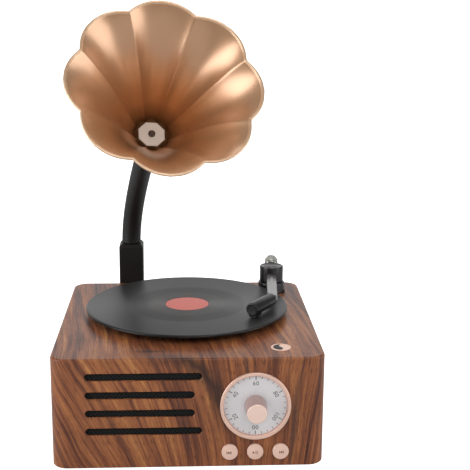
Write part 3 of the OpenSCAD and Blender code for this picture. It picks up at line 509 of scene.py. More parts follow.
def metal(name, colour, rough=0.3, scratch=(1.0, 1.0, 1.0), depth=0.01, other=None, metallic=1.0):
    """Metal with scratches stretched along the axis where scratch is small."""
    s = Shader(name, Metallic=metallic)
    point = s.place()
    line = s.noise(s.stretch(point, scratch), 3.0, 4.0, 0.7)
    slow = s.noise(point, 0.15, 2.0)
    base = s.tone(slow, colour, other or colour)
    base = s.darken(base, s.ramp(line, [(0.25, 0.88), (0.75, 1.0)]))
    gloss = s.add(s.times(line, 0.16), rough - 0.08)
    s.finish(Base_Color=base, Roughness=gloss, Normal=s.bump(line, depth))


def dial_metal(name, colour, other, rough, metallic, side=None):
    """Metal turned on a lathe: fine rings round the dial's centre, and where side is given, painted
    shade:
    a darker colour on the knob's side behind its polished face."""
    s = Shader(name, Metallic=metallic)
    point = s.place()
    radius = s.distance(point, (DIAL_X, 0, DIAL_Z), (1, 0, 1))
    along = s.node("ShaderNodeCombineXYZ", {0: s.math("DIVIDE", radius, 0.22)})
    rings = s.noise(along, 1.0, 2.0)
    slow = s.noise(point, 0.3, 2.0)
    base = s.tone(slow, colour, other)
    if side:
        y = s.node("ShaderNodeSeparateXYZ", {0: point}, output=1)
        # the knob's side: painted shade, darker than its face
        base = s.mix(s.math("GREATER_THAN", y, FRONT - KNOB_REACH + 0.3), base, rgb(side))
    base = s.darken(base, s.ramp(rings, [(0.3, 0.9), (0.7, 1.0)]))
    gloss = s.add(s.times(rings, 0.14), rough - 0.07)
    s.finish(Base_Color=base, Roughness=gloss, Normal=s.bump(rings, 0.008))


def satin_copper():
    """Satin copper-gold lacquer on pressed sheet: fine flakes, a painted highlight on the rim, and
    towards the throat a warmer orange of painted bounced light, then painted shade.
    """
    s = Shader("horn_copper_gold", Metallic=0.62)
    point = s.place()
    deep, rim = s.attribute("depth"), s.attribute("rim")
    flakes = s.noise(point, 9.0, 2.0)
    slow = s.noise(point, 0.05, 2.0)
    base = s.tone(slow, "ce9b6f", "c59266")
    # warmer orange towards the throat: painted light bouncing inside the bell
    base = s.mix(s.ramp(deep, [(0.08, 1.0), (0.5, 0.0)]), base, rgb("d2915b"))
    # darker towards the throat: painted shade
    base = s.darken(base, s.ramp(deep, [(0.01, 0.17), (0.065, 0.5), (0.2, 1.0)]))
    # paler rim: painted highlight
    base = s.mix(rim, base, rgb("e8bf97"))
    base = s.darken(base, s.ramp(flakes, [(0.3, 0.94), (0.7, 1.0)]))
    gloss = s.add(s.times(flakes, 0.08), s.ramp(deep, [(0.05, 0.45), (0.35, 0.25)]))
    s.finish(Base_Color=base, Roughness=gloss, Normal=s.bump(flakes, 0.01, 0.3),
             Specular_IOR_Level=s.ramp(deep, [(0.1, 0.05), (0.4, 0.6)]),
             Coat_Weight=s.ramp(deep, [(0.34, 0.0), (0.6, 0.9)]),
             Coat_IOR=1.9, Coat_Roughness=0.26)


def vinyl():
    """Pressed record: grooves in bands, with the fan-shaped sheen that grooves give; the greys that
    change by band are painted sheen, and the near-black outer edge is painted shade.
    """
    s = Shader("vinyl")
    point = s.place()
    radius = s.distance(point, (0, RECORD_Y, 0), (1, 1, 0))
    along = s.node("ShaderNodeCombineXYZ", {0: radius})
    grooves = s.noise(along, 2.6, 3.0, 0.7)
    zone = s.math("DIVIDE", radius, RECORD_R)
    # greys by band: painted sheen of the smooth and grooved bands; near-black outer edge: painted shade
    base = s.ramp(zone, [(0.38, "484746"), (0.4, "262525"), (0.52, "262525"), (0.6, "2e2d2d"),
                         (0.97, "252424"), (0.985, "0c0c0c")])
    base = s.darken(base, s.ramp(grooves, [(0.3, 0.86), (0.7, 1.0)]))
    gloss = s.ramp(zone, [(0.38, 0.5), (0.4, 0.42), (0.56, 0.42), (0.6, 0.36)])
    tangent = s.node("ShaderNodeTangent", direction_type="RADIAL", axis="Z")
    s.finish(Base_Color=base, Roughness=gloss, Anisotropic=0.75, Anisotropic_Rotation=0.25,
             Tangent=tangent, Specular_IOR_Level=0.45, Normal=s.bump(grooves, 0.012))


def label_paper():
    """Salmon-red label: paper fibre and darker printed rings."""
    s = Shader("label_paper")
    point = s.place()
    radius = s.distance(point, (0, RECORD_Y, 0), (1, 1, 0))
    fibre = s.noise(point, 3.5, 4.0)
    base = s.tone(fibre, "c8685e", "dc7c70")
    ring_pitch = 2.6
    ring = s.math("FRACT", s.math("DIVIDE", radius, ring_pitch))
    ring = s.math("ABSOLUTE", s.math("SUBTRACT", ring, 0.5))
    ring = s.ramp(ring, [(0.0, 0.55), (0.07, 0.0)])
    base = s.mix(ring, base, rgb("a84f4a"))
    s.finish(Base_Color=base, Roughness=0.55, Normal=s.bump(fibre, 0.02))


def woven(name, thread, shaded_gap, pitch):
    """Black mesh cloth; its threads are in the piece's own relief, so this adds fibre, and pure black
    painted shade in the low gaps between threads.
    """
    s = Shader(name)
    point = s.place()
    high = s.attribute("thread")
    fibre = s.noise(s.stretch(point, (1 / pitch, 1, 1 / pitch)), 6.0, 2.0)
    # low gaps between threads: painted shade
    base = s.mix(s.ramp(high, [(0.15, 0.0), (0.5, 1.0)]), rgb(shaded_gap), rgb(thread))
    base = s.darken(base, s.ramp(fibre, [(0.3, 0.7), (0.7, 1.0)]))
    s.finish(Base_Color=base, Roughness=0.75, Normal=s.bump(fibre, 0.02),
             Specular_IOR_Level=0.15)


def circuit_board():
    s = Shader("circuit_board")
    point = s.place()
    tracks = s.node("ShaderNodeTexBrick", {
        "Vector": point, "Scale": 0.35, "Mortar Size": 0.05, "Color1": rgb("1d4d33"),
        "Color2": rgb("17422b"), "Mortar": rgb("2c6a48")})
    fibre = s.noise(point, 2.0, 3.0)
    base = s.darken(tracks, s.ramp(fibre, [(0.3, 0.85), (0.7, 1.0)]))
    s.finish(Base_Color=base, Roughness=0.35, Normal=s.bump(fibre, 0.01))


def fibrous(name, colour, other, rough=0.8):
    """Pressed fibre or felted paper."""
    s = Shader(name)
    point = s.place()
    fibre = s.noise(point, 2.2, 5.0, 0.7)
    base = s.tone(fibre, colour, other)
    s.finish(Base_Color=base, Roughness=rough, Normal=s.bump(fibre, 0.08, 0.6))


wood()
moulded("black_plastic", "1b1b1c", 0.5, other="242425")
metal("zinc_screw", "9d9fa2", 0.3, other="85878b")
moulded("rubber_foot", "171717", 0.75, grain=0.5, depth=0.06, other="202020")
# 000000: painted shade in the cloth's gaps
woven("speaker_cloth", "242525", "000000", 0.4)
fibrous("baffle_board", "2a2522", "3a342f")
metal("stamped_steel", "4a4b4d", 0.42, other="3b3c3e")
moulded("surround_rubber", "161616", 0.62, grain=0.4, other="1e1e1e")
fibrous("paper_cone", "332c26", "4b4138")
metal("copper_wire", "b8693a", 0.3, (1, 14, 1), 0.03, "a3592f")
fibrous("ferrite", "2d2d2f", "3c3c3f", 0.65)
metal("plain_steel", "8f9194", 0.32, (8, 8, 0.6), other="7b7d80")
circuit_board()
moulded("battery_wrap", "2b5a8a", 0.4, grain=0.8, depth=0.01, other="346797")
metal("bush_brass", "b08d4a", 0.28, (1, 1, 9), other="9c7b3e")
dial_metal("rose_gold", "ffd8c6", "fbd0bc", 0.3, 0.5)
# side: painted shade on the knob's side
dial_metal("knob_gold", "ffe3d4", "ffdccb", 0.3, 0.2, side="b99c98")
metal("button_rose_gold", "ffdcca", 0.34, (3, 3, 3), other="f9ceba", metallic=0.25)
dial_metal("dial_silver", "efedee", "e6e4e7", 0.42, 0.1)
moulded("dial_ink", "5d5a5e", 0.55, grain=0.2, depth=0.005, other="66636a")
metal("button_ink", "a98573", 0.45, (3, 3, 3), other="9c7966")
vinyl()
label_paper()
metal("tonearm_black", "464446", 0.22, (1, 1, 8), 0.006, "3b393b", metallic=0.8)
metal("arm_steel", "a9a8a7", 0.26, (6, 0.5, 6), 0.01, "9a9998")
metal("headshell_black", "3c3c3c", 0.25, (5, 1, 5), 0.006, "323232", metallic=0.8)
metal("weight_alloy", "aeada6", 0.26, (5, 1, 5), other="9c9b95")
moulded("neck_black", "161413", 0.45, grain=0.3, depth=0.012, other="1c1a19", specular=0.35)
satin_copper()
metal("clamp_plate", "fbeee2", 0.42, (7, 0.6, 0.6), 0.02, "ecdccc", metallic=0.25)
metal("screw_dark", "6b625a", 0.3, other="574f49")


# ---------- camera, floor and light ----------

CAMERA_AT = Vector((-3.692, -470.862, 203.1))
CAMERA_PITCH, CAMERA_YAW, CAMERA_ROLL = (math.radians(a) for a in (13.19, 3.24, 0.51))
LENS, SENSOR = 77.27, 36
FLOOR_FLAT, FLOOR_BEND, FLOOR_HALF, FLOOR_WALL_TOP = 4000.0, 1400.0, 6000.0, 5200.0
FLOOR_GLOW = 1.8
FLOOR_LIGHT = 0.12
WORLD_LIGHT = 0.3
SOFT_LIGHTS = {  # place, aim and size in metres, and power in watts
    "overhead": ((0.05, 0.5, 1.2), (0, 0, 0.05), (1.0, 0.8), 4),
    "left_box": ((-0.6, -0.24, 0.27), (0, 0, 0.17), (0.46, 0.56), 2.8),
    "right_box": ((0.6, -0.2, 0.2), (0, 0, 0.17), (0.42, 0.44), 1.3),
    "front_box": ((0.2, -0.85, 0.8), (0, 0, 0.14), (0.7, 0.5), 3.2),
    "back_panel": ((0, 1.6, 0.7), (0, 0, 0.2), (3.0, 1.4), 8),
}


def make_camera():
    pitch, yaw, roll = CAMERA_PITCH, CAMERA_YAW, CAMERA_ROLL
    out = math.cos(pitch)
    forward = Vector((math.sin(yaw) * out, math.cos(yaw) * out, -math.sin(pitch)))
    level = Vector((math.cos(yaw), -math.sin(yaw), 0))
    above = level.cross(forward)
    right = math.cos(roll) * level + math.sin(roll) * above
    up = -math.sin(roll) * level + math.cos(roll) * above
    data = bpy.data.cameras.new("camera")
    data.sensor_width = SENSOR
    data.lens = LENS
    camera = linked("camera", data)
    camera.matrix_world = (Matrix.Translation(CAMERA_AT * MM)
                           @ Matrix((right, up, -forward)).transposed().to_4x4())
    bpy.context.scene.camera = camera


def make_floor():
    """A pale sweep: flat floor, a wide curve and a wall."""
    bend = [math.radians(a) for a in range(0, 91, 6)]
    line = [(-FLOOR_FLAT, 0.0)]
    line += [(FLOOR_FLAT - FLOOR_BEND * (1 - math.sin(a)), FLOOR_BEND * (1 - math.cos(a)))
             for a in bend]
    line.append((FLOOR_FLAT, FLOOR_WALL_TOP))
    rings = [[(x, y, z) for y, z in line] for x in (-FLOOR_HALF, FLOOR_HALF)]
    faces = [(i, i + 1, len(line) + i + 1, len(line) + i) for i in range(len(line) - 1)]
    floor = new_object("floor", rings[0] + rings[1], faces)
    shade(floor)
    s = Shader("pale_floor", Roughness=0.8, Specular_IOR_Level=0.1)
    paper = s.noise(s.place(), 0.02, 3.0)
    colour = s.tone(paper, "cccccc", "cfcfcf")
    seen = s.node("ShaderNodeLightPath")
    glow = s.add(s.times(seen, FLOOR_GLOW), FLOOR_LIGHT)
    s.finish(Base_Color=colour, Emission_Color=colour, Emission_Strength=glow)
    floor.data.materials.append(s.material)


def soft_light(name, place, aim, size, power):
    data = bpy.data.lights.new(name, "AREA")
    data.shape = "RECTANGLE"
    data.size, data.size_y = size
    data.energy = power
    lamp = linked(name, data)
    lamp.location = place
    lamp.rotation_euler = (Vector(aim) - Vector(place)).to_track_quat("-Z", "Y").to_euler()


def make_light():
    """A white surround that lights the object less than it shows, and the soft lights."""
    world = bpy.data.worlds.new("studio")
    bpy.context.scene.world = world
    world.use_nodes = True
    background = world.node_tree.nodes["Background"]
    background.inputs[0].default_value = (1, 1, 1, 1)
    seen = world.node_tree.nodes.new("ShaderNodeLightPath")
    strength = world.node_tree.nodes.new("ShaderNodeMapRange")
    strength.inputs[3].default_value = WORLD_LIGHT
    world.node_tree.links.new(seen.outputs[0], strength.inputs[0])
    world.node_tree.links.new(strength.outputs[0], background.inputs[1])
    for name, values in SOFT_LIGHTS.items():
        soft_light(name, *values)
    bpy.context.scene.view_settings.view_transform = "Standard"


make_camera()
make_floor()
make_light()

# ---------- case ----------


def wrap_coordinates(obj):
    """Millimetre coordinates that run over the front edge onto the top, and round the walls to the rear
    right corner."""
    layer = obj.data.uv_layers.new(name="wrap")
    half = CASE_W / 2 - CORNER_R
    quarter = math.pi / 2 * CORNER_R

    def round_the_walls(x, y):
        if abs(x) <= half and y < 0:
            return x
        side = 1 if x > 0 else -1
        x = abs(x)
        if y < -half:
            return side * (half + CORNER_R * math.atan2(x - half, -half - y))
        if y <= half:
            return side * (half + quarter + y + half)
        return side * (half + quarter + 2 * half + CORNER_R * math.atan2(y - half, x - half))

    for polygon in obj.data.polygons:
        top = polygon.normal.z > 0.75
        rear = polygon.center.y > (half + CORNER_R - 0.5) * MM and abs(polygon.normal.y) > 0.999
        for k in polygon.loop_indices:
            p = obj.data.vertices[obj.data.loops[k].vertex_index].co / MM
            if top:
                layer.data[k].uv = (p.x, CASE_TOP + p.y - FRONT)
            elif rear:
                layer.data[k].uv = (-(half + 2 * quarter + 2 * half) - half - p.x, p.z)
            else:
                layer.data[k].uv = (round_the_walls(p.x, p.y), p.z)


def make_case():
    """Hollow case with rounded edges, its screw bosses, and every hole and seat cut into it."""
    edge, foot_edge = 1.1, 0.5
    turns = [math.radians(15 * i) for i in range(7)]
    levels = [(FOOT_H + foot_edge * (1 - math.cos(a)), foot_edge * (1 - math.sin(a))) for a in turns]
    levels += [(CASE_TOP - edge + edge * math.sin(a), edge * (1 - math.cos(a))) for a in turns]
    case = prism("case_body", lambda inset: rounded_rectangle(
        CASE_W - 2 * inset, CASE_D - 2 * inset, CORNER_R - inset), levels)

    # the hollow, and the bosses for the cover's and the board's screws
    inner = CASE_W - 2 * WALL
    cut(case, lambda g: rounded_rectangle(inner, inner, CORNER_R - WALL),
        [(FOOT_H - 1, 0), (CEILING, 0)])
    for x in BOSS_XS:
        for y in BOSS_YS:
            bore(case, BOSS_R, [(COVER_TOP, 0), (CEILING + 1, 0)], moved(x, y, 0), 40, "UNION")
    for x in BOARD_BOSS_XS:
        for z in BOARD_BOSS_ZS:
            bore(case, BOARD_BOSS_R, [(-WALL - BOARD_BOSS_L, 0), (-WALL + 1, 0)],
                 facing_front(DIAL_X + x, FRONT, z), 32, "UNION")

    # sound slots, and the cloth's pocket behind them
    for i, length in enumerate(SLOT_LENGTHS):
        cut(case, lambda g: stadium(length, SLOT_H, g), [(-WALL - 1, 0), (-0.3, 0), (0.5, 0.8)],
            facing_front(SLOT_LEFT + length / 2, FRONT, SLOT_TOP_Z - i * SLOT_PITCH))
    cloth_gap = 0.4
    cut(case, lambda g: rounded_rectangle(CLOTH_W + cloth_gap, CLOTH_H + cloth_gap, 0.5, 2),
        [(-WALL - 1, 0), (-SLOT_WALL, 0)], facing_front(SLOTS_X, FRONT, SLOTS_Z))

    # the dial's seat, and the buttons' holes
    seat_r = RING_R - 1
    bore(case, seat_r, [(-DIAL_RECESS, 0), (1, 0)], DIAL_FACE)
    bore(case, RING_R + 0.25, [(-0.3, 0), (0.5, 0.15)], DIAL_FACE, 96)
    bore(case, seat_r - 2.6, [(-WALL - 1, 0), (0, 0)], DIAL_FACE)
    for i in (-1, 0, 1):
        bore(case, BUTTON_R + 0.12, [(-WALL - 1, 0), (-0.15, 0), (0.35, 0.5)],
             facing_front(DIAL_X + i * BUTTON_PITCH, FRONT, BUTTON_Z), 56)

    # holes and seats in the top, then in the rear
    through_top = [(CEILING - 1, 0), (CASE_TOP + 1, 0)]
    bore(case, BUSH_HOLE_R, through_top, AT_RECORD)
    bore(case, ARM_HOLE_R, through_top, AT_ARM)
    bore(case, BADGE_R + 0.02, [(CASE_TOP - BADGE_RECESS, 0), (CASE_TOP + 1, 0)],
         moved(BADGE_X, BADGE_Y, 0))
    for z in POST_HOLE_ZS:
        bore(case, POST_HOLE_R, [(-1, 0), (WALL + 1, 0)], facing_front(POST_X, REAR, z), 32)
    cut(case, lambda g: stadium(USB_W, USB_H, g), [(-1.4, 0.9), (0.3, 0), (WALL + 1, 0)],
        facing_front(USB_X, REAR, USB_Z))
    tidy(case)
    wrap_coordinates(case)
    piece(case, "root", "wood_case", ["case_shell"], weighted=True)


def make_cloth():
    """A plain weave on the bias, stretched behind the slots: its relief is in the mesh."""
    pitch, grid, relief = 1.3, 0.17, 0.34
    nx, nz = round(CLOTH_W / grid), round(CLOTH_H / grid)
    front_y = FRONT + SLOT_WALL
    verts, faces, threads = [], [], []
    for i in range(nx + 1):
        for j in range(nz + 1):
            x, z = i * CLOTH_W / nx, j * CLOTH_H / nz
            a, b = (math.pi * (x + side * z) / (math.sqrt(2) * pitch) for side in (1, -1))
            over = math.cos(a) * math.cos(b)
            warp = abs(math.cos(a)) * (0.5 + 0.5 * over)
            weft = abs(math.cos(b)) * (0.5 - 0.5 * over)
            high = max(warp, weft)
            verts.append((SLOTS_X - CLOTH_W / 2 + x, front_y + 0.05 + relief * (1 - high),
                          SLOTS_Z - CLOTH_H / 2 + z))
            threads.append(high)
    for i in range(nx):
        for j in range(nz):
            k = i * (nz + 1) + j
            faces.append((k, k + nz + 1, k + nz + 2, k + 1))
    mesh = bpy.data.meshes.new("grille_weave")
    mesh.from_pydata([Vector(v) * MM for v in verts], [], faces)
    cloth = linked("grille_weave", mesh)
    point_values(cloth, "thread", threads)
    piece(cloth, "root", "speaker_cloth", ["grille_cloth"], angle=180)


make_case()
make_cloth()

# ---------- dial, knob, buttons and badge ----------


def make_dial():
    """Ring, plate, printed marks and the numbers 0 to 100 round it."""
    ring_in, seat_r = RING_R - RING_W, RING_R - 1.02
    seat_z, flange_z = -DIAL_RECESS + 0.02, -0.28
    ring = lathe("ring", fillet([
        (ring_in, seat_z), (seat_r, seat_z), (seat_r, flange_z), (RING_R, flange_z),
        (RING_R, RING_PROUD, 0.4), (ring_in, RING_PROUD, 0.5), (ring_in, seat_z)]), DIAL_FACE, 128)
    piece(ring, "root", "rose_gold", ["dial_ring"])

    face_z = -DIAL_RECESS + PLATE_T
    bore_r = SHAFT_R + 0.3
    plate = lathe("plate", fillet([
        (bore_r, -DIAL_RECESS), (PLATE_R, -DIAL_RECESS), (PLATE_R, face_z, 0.15),
        (bore_r, face_z, 0.15), (bore_r, -DIAL_RECESS)]), DIAL_FACE, 128)
    piece(plate, "root", "dial_silver", ["dial_plate"])

    verts, faces = [], []
    ink_z = face_z + 0.03
    for i in range(MARK_COUNT):
        inner, half = (11.75, 0.16) if i % 5 == 0 else (12.5, 0.11)
        spin = turned("Z", 360 / MARK_COUNT * i)
        for x, y in ((-half, inner), (half, inner), (half, MARK_OUTER), (-half, MARK_OUTER)):
            verts.append(spin @ Vector((x, y, ink_z)))
        faces.append(tuple(range(4 * i, 4 * i + 4)))
    marks = new_object("dial_marks", verts, faces, DIAL_FACE)
    piece(marks, "root", "dial_silver", look="dial_ink")

    for i, number in enumerate(("60", "80", "100", "00", "20", "40")):
        curve = bpy.data.curves.new("number", "FONT")
        curve.body = number
        curve.size = NUMBER_H
        curve.align_x = curve.align_y = "CENTER"
        curve.space_character = 1.08
        curve.resolution_u = 4
        writer = linked("number", curve)
        mesh = baked(writer)
        bpy.data.objects.remove(writer)
        place = DIAL_FACE @ turned("Z", -60 * i) @ moved(0, NUMBER_AT, ink_z)
        mesh.transform(Matrix.Scale(MM, 4) @ place)
        piece(linked("dial_number_" + number, mesh), "root", "dial_silver", look="dial_ink")


def make_knob():
    """Plain knob, a little narrower at its face."""
    back = -DIAL_RECESS + PLATE_T + 0.3
    knob = lathe("knob", fillet([
        (0, back), (KNOB_BASE_R, back), (KNOB_BASE_R, back + 0.5, 0.2), (KNOB_FACE_R, KNOB_REACH, 0.45),
        (0, KNOB_REACH)]), DIAL_FACE, 96)
    piece(knob, "knob", "rose_gold", ["volume_knob"], look="knob_gold")


def mark(name, shapes, x, body):
    """Thin transport symbol on a button's dome, from lists of (x, y) points."""
    verts, faces = [], []
    for shape in shapes:
        start = len(verts)
        verts += [(px, py, BUTTON_PROUD + 0.02) for px, py in shape]
        faces.append(tuple(range(start, start + len(shape))))
    obj = new_object(name, verts, faces, facing_front(x, FRONT, BUTTON_Z))
    piece(obj, body, "button_rose_gold", look="button_ink")


def make_buttons():
    """Three domed caps with a flange behind the wall, and a transport symbol on each."""
    def shifted(shape, dx):
        return [(x + dx, y) for x, y in shape]

    left = [(-0.15, 0), (0.75, 0.7), (0.75, -0.7)]
    right = [(-x, y) for x, y in left]
    bar = [(-0.12, 0.7), (0.12, 0.7), (0.12, -0.7), (-0.12, -0.7)]
    symbols = {
        "previous": [shifted(left, -0.05), shifted(left, -0.95), shifted(bar, -1.25)],
        "play": [shifted(right, -0.35), shifted(bar, 0.3), shifted(bar, 0.85)],
        "next": [shifted(right, 0.05), shifted(right, 0.95), shifted(bar, 1.25)],
    }
    dome_r, stem_r, flange_r = 14.0, 1.8, 4.4
    stem_z, flange_back, flange_front = -5.7, -5.1, -4.1

    def dome_z(r):
        return BUTTON_PROUD - (dome_r - math.sqrt(dome_r ** 2 - r ** 2))

    dome = [(r, dome_z(r)) for r in (3.2, 2.6, 2.0, 1.3, 0.6, 0)]
    profile = fillet([
        (0, stem_z), (stem_r, stem_z), (stem_r, flange_back), (flange_r, flange_back),
        (flange_r, flange_front), (BUTTON_R, flange_front), (BUTTON_R, dome_z(BUTTON_R), 0.25),
        dome[0]]) + dome[1:]
    for i, (name, shapes) in enumerate(symbols.items()):
        x = DIAL_X + (i - 1) * BUTTON_PITCH
        body = "button_" + name
        cap = lathe("cap_" + name, profile, facing_front(x, FRONT, BUTTON_Z), 72)
        piece(cap, body, "button_rose_gold", [body])
        mark("mark_" + name, shapes, x, body)


def make_badge():
    """Round disc with a bezel and a plain two-tone wave."""
    bottom, top = CASE_TOP - BADGE_RECESS, CASE_TOP - BADGE_RECESS + BADGE_T
    disc_r, disc_top, inlay_r, wave_w = 3.7, top - 0.12, 3.4, 0.75
    place = moved(BADGE_X, BADGE_Y, 0)
    bezel = lathe("badge_bezel", fillet([
        (disc_r, bottom), (BADGE_R, bottom), (BADGE_R, top, 0.2), (disc_r, top, 0.15),
        (disc_r, bottom)]), place)
    piece(bezel, "root", "rose_gold", ["badge"], look="button_rose_gold")
    disc = lathe("badge_disc", fillet([
        (0, bottom), (disc_r, bottom), (disc_r, disc_top, 0.05), (0, disc_top)]), place)
    piece(disc, "root", "rose_gold")
    wave = [(wave_w * math.sin(math.radians(a * 2)), inlay_r * (a - 90) / 90) for a in range(0, 181, 9)]
    edge = [(inlay_r * math.cos(math.radians(a)), inlay_r * math.sin(math.radians(a)))
            for a in range(99, 270, 9)]
    inlay = prism("badge_inlay", lambda g: wave + edge, [(top - 0.1, 0), (top - 0.02, 0)], place)
    piece(inlay, "root", "rose_gold", look="black_plastic")


make_dial()
make_knob()
make_buttons()
make_badge()

# ---------- record and tonearm ----------


def make_record():
    """Grooved record with two deeper rings between its bands, and the label in its recess."""
    edge_in, groove_w, groove_pitch, groove_depth, gap_depth = 0.7, 0.4, 0.75, 0.006, 0.03
    recess = RECORD_TOP - LABEL_RECESS
    top = [(LABEL_R + 0.15, recess), (LABEL_R + 0.15, RECORD_TOP)]
    r = LABEL_R + 1.2
    while r < RECORD_R - 2.2:
        depth = gap_depth if 19.2 < r < 19.9 or 28 < r < 28.7 else groove_depth
        top += [(r, RECORD_TOP), (r + groove_w / 2, RECORD_TOP - depth), (r + groove_w, RECORD_TOP)]
        r += groove_pitch
    profile = [(PIN_R, recess)] + top + fillet([
        (RECORD_R - 1.6, RECORD_TOP), (RECORD_R - edge_in, RECORD_TOP, 0.4),
        (RECORD_R, RECORD_TOP - 0.45, 0.3), (RECORD_R, RECORD_BOTTOM + 0.35, 0.2),
        (RECORD_R - edge_in, RECORD_BOTTOM, 0.3), (PIN_R, RECORD_BOTTOM)]) + [(PIN_R, recess)]
    disc = lathe("record", profile, AT_RECORD, 192)
    piece(disc, "platter", "vinyl", ["record_disc"], angle=40)
    label = lathe("label", fillet([
        (0, recess), (LABEL_R, recess), (LABEL_R, recess + LABEL_T, 0.08), (0, recess + LABEL_T)]),
        AT_RECORD, 128)
    piece(label, "platter", "label_paper", ["record_label"])


def make_tonearm():
    """Base, turning turret, pipe with its elbow, headshell, cartridge and counterweight."""
    bore_r, nut_r, foot_h = 2.05, 4, 1.6
    nose, step_r = CASE_TOP - 10, ARM_BASE_R - 0.5
    base = lathe("arm_base", fillet([
        (bore_r, nose), (nut_r, nose), (nut_r, CASE_TOP), (ARM_BASE_R, CASE_TOP),
        (ARM_BASE_R, CASE_TOP + foot_h, 0.4), (step_r, CASE_TOP + foot_h + 0.3, 0.2),
        (step_r, ARM_BASE_TOP, 0.5), (bore_r, ARM_BASE_TOP), (bore_r, nose)]), AT_ARM)
    piece(base, "root", "tonearm_black", ["tonearm_base"])

    dished = TURRET_TOP - 0.06
    turret = lathe("arm_turret", fillet([
        (0, TURRET_BOTTOM), (TURRET_R - 0.3, TURRET_BOTTOM, 0.2), (TURRET_R, TURRET_BOTTOM + 0.5, 0.3),
        (TURRET_R, TURRET_TOP, 0.55), (TURRET_R - 1.1, TURRET_TOP), (TURRET_R - 1.2, dished),
        (0, dished)]), AT_ARM)
    piece(turret, "tonearm", "tonearm_black", ["tonearm_turret"])

    seat = TURRET_R - 3.4
    tube = lathe("arm_pipe", fillet([
        (0, seat), (ARM_R, seat), (ARM_R, TURRET_R - 0.4), (ARM_R + 0.02, ARM_LEN - 0.5)]) + [
        (ARM_R * math.cos(math.radians(a)), ARM_LEN + ARM_R * math.sin(math.radians(a)))
        for a in range(0, 91, 9)], ALONG_ARM)
    piece(tube, "tonearm", "arm_steel", ["arm_tube"])
    stem_r, stem_end, elbow_r = 1.8, 7.4, ARM_R - 0.1
    stem = lathe("arm_elbow", fillet([
        (0, 0), (stem_r, 0), (elbow_r, 0.4), (elbow_r, SHELL_START, 0.2), (stem_r, SHELL_START + 0.1),
        (stem_r, stem_end), (0, stem_end)]), ALONG_SHELL)
    piece(stem, "tonearm", "arm_steel")

    end = SHELL_LEN
    shell = lathe("shell", fillet([
        (stem_r + 0.02, SHELL_START), (SHELL_R, SHELL_START, 0.5), (SHELL_R, end, 0.5),
        (SHELL_R - 0.9, end, 0.1), (SHELL_R - 1.2, end - 0.25, 0.1), (0, end - 0.25)]), ALONG_SHELL)
    piece(shell, "tonearm", "headshell_black", ["headshell"])

    drop = ARM_Z - RECORD_TOP - 0.2
    w, l, chamfer, hidden = CARTRIDGE_W / 2, CARTRIDGE_L, (0.8, 0.9), -1.3
    outline = [(-w, hidden), (-w, -drop + chamfer[1]), (-w + chamfer[0], -drop),
               (w - chamfer[0], -drop), (w, -drop + chamfer[1]), (w, hidden)]
    block = loft("pickup", [
        [(x, y, CARTRIDGE_AT + z) for x, y in outline] for z in (0, 0.3, l - 0.3, l)], ALONG_SHELL)
    bevel(block, 0.15)
    piece(block, "tonearm", "headshell_black", ["cartridge"])

    rod_in, groove, end = TURRET_R - 2.4, WEIGHT_START + 5.2, WEIGHT_START + WEIGHT_LEN
    weight = lathe("weight", fillet([
        (0, rod_in), (WEIGHT_ROD_R, rod_in), (WEIGHT_ROD_R, WEIGHT_START),
        (WEIGHT_R, WEIGHT_START, 1.2), (WEIGHT_R, groove, 0.1), (WEIGHT_R - 0.2, groove + 0.2, 0.1),
        (WEIGHT_R, groove + 0.4, 0.1), (WEIGHT_R, end, 1.5), (0, end)]), ALONG_WEIGHT)
    piece(weight, "tonearm", "weight_alloy", ["counterweight"])


make_record()
make_tonearm()

# ---------- post, neck and horn ----------


def make_post():
    """Square post with the neck's socket and the set screw's hole."""
    post = prism("post", lambda g: rounded_rectangle(POST_W - 2 * g, POST_D - 2 * g, 0.6, 4), [
        (POST_BOTTOM, 0.3), (POST_BOTTOM + 0.3, 0), (POST_TOP - 1.2, 0), (POST_TOP, 0.95)],
        moved(POST_X, POST_Y, 0))
    bore(post, SPIGOT_R, [(POST_TOP - 24, 0), (POST_TOP + 1, 0)], moved(POST_X, POST_Y, 0))
    bore(post, SET_SCREW_R, [(-1, 0), (POST_D / 2, 0)],
         facing_front(POST_X, REAR + POST_D, POST_TOP - SET_SCREW_DOWN), 32)
    bevel(post, 0.25)
    piece(post, "root", "neck_black", ["neck_post"], weighted=True)


def make_neck():
    """The bent tube, with a small rounded edge at its lower end."""
    foot, up = neck_curve(0)
    stations = [(foot + h * up, up, NECK_R - inset) for h, inset in ((0, 0.35), (0.1, 0.1), (0.35, 0))]
    bends, sides = 48, 56
    stations += [(*neck_curve(i / bends), NECK_R) for i in range(1, bends + 1)]
    stations += [(THROAT - back * horn_axis(), horn_axis(), NECK_R) for back in (8, 4, BELL_T)]
    bore_r = NECK_R - NECK_WALL
    stations += [(centre, heading, bore_r) for centre, heading, r in reversed(stations)]
    level = Vector((math.cos(math.radians(HORN_YAW)), math.sin(math.radians(HORN_YAW)), 0))
    rings = []
    for centre, heading, r in stations:
        side = (level - level.dot(heading) * heading).normalized()
        out = side.cross(heading)
        rings.append([tuple(centre + r * (math.cos(t) * out + math.sin(t) * side))
                      for t in (2 * math.pi * j / sides for j in range(sides))])
    rings.append(rings[0])
    neck = loft("neck", rings, capped=False)
    piece(neck, "horn", "neck_black", ["neck_tube"], angle=40)


def flute(degrees, softness=0.9):
    """Petal radius over cusp radius, with the crease between two petals a little rounded."""
    step = 360 / PETALS
    p = abs((degrees % step) - step / 2)
    p = max(0.0, step / 2 - math.hypot(step / 2 - p, softness))
    half_chord = math.sin(math.radians(step / 2))
    sagitta = PETAL_BULGE - math.cos(math.radians(step / 2))
    arc = (half_chord ** 2 + sagitta ** 2) / (2 * sagitta)
    at = PETAL_BULGE - arc
    p = math.radians(p)
    return at * math.cos(p) + math.sqrt(arc ** 2 - (at * math.sin(p)) ** 2)


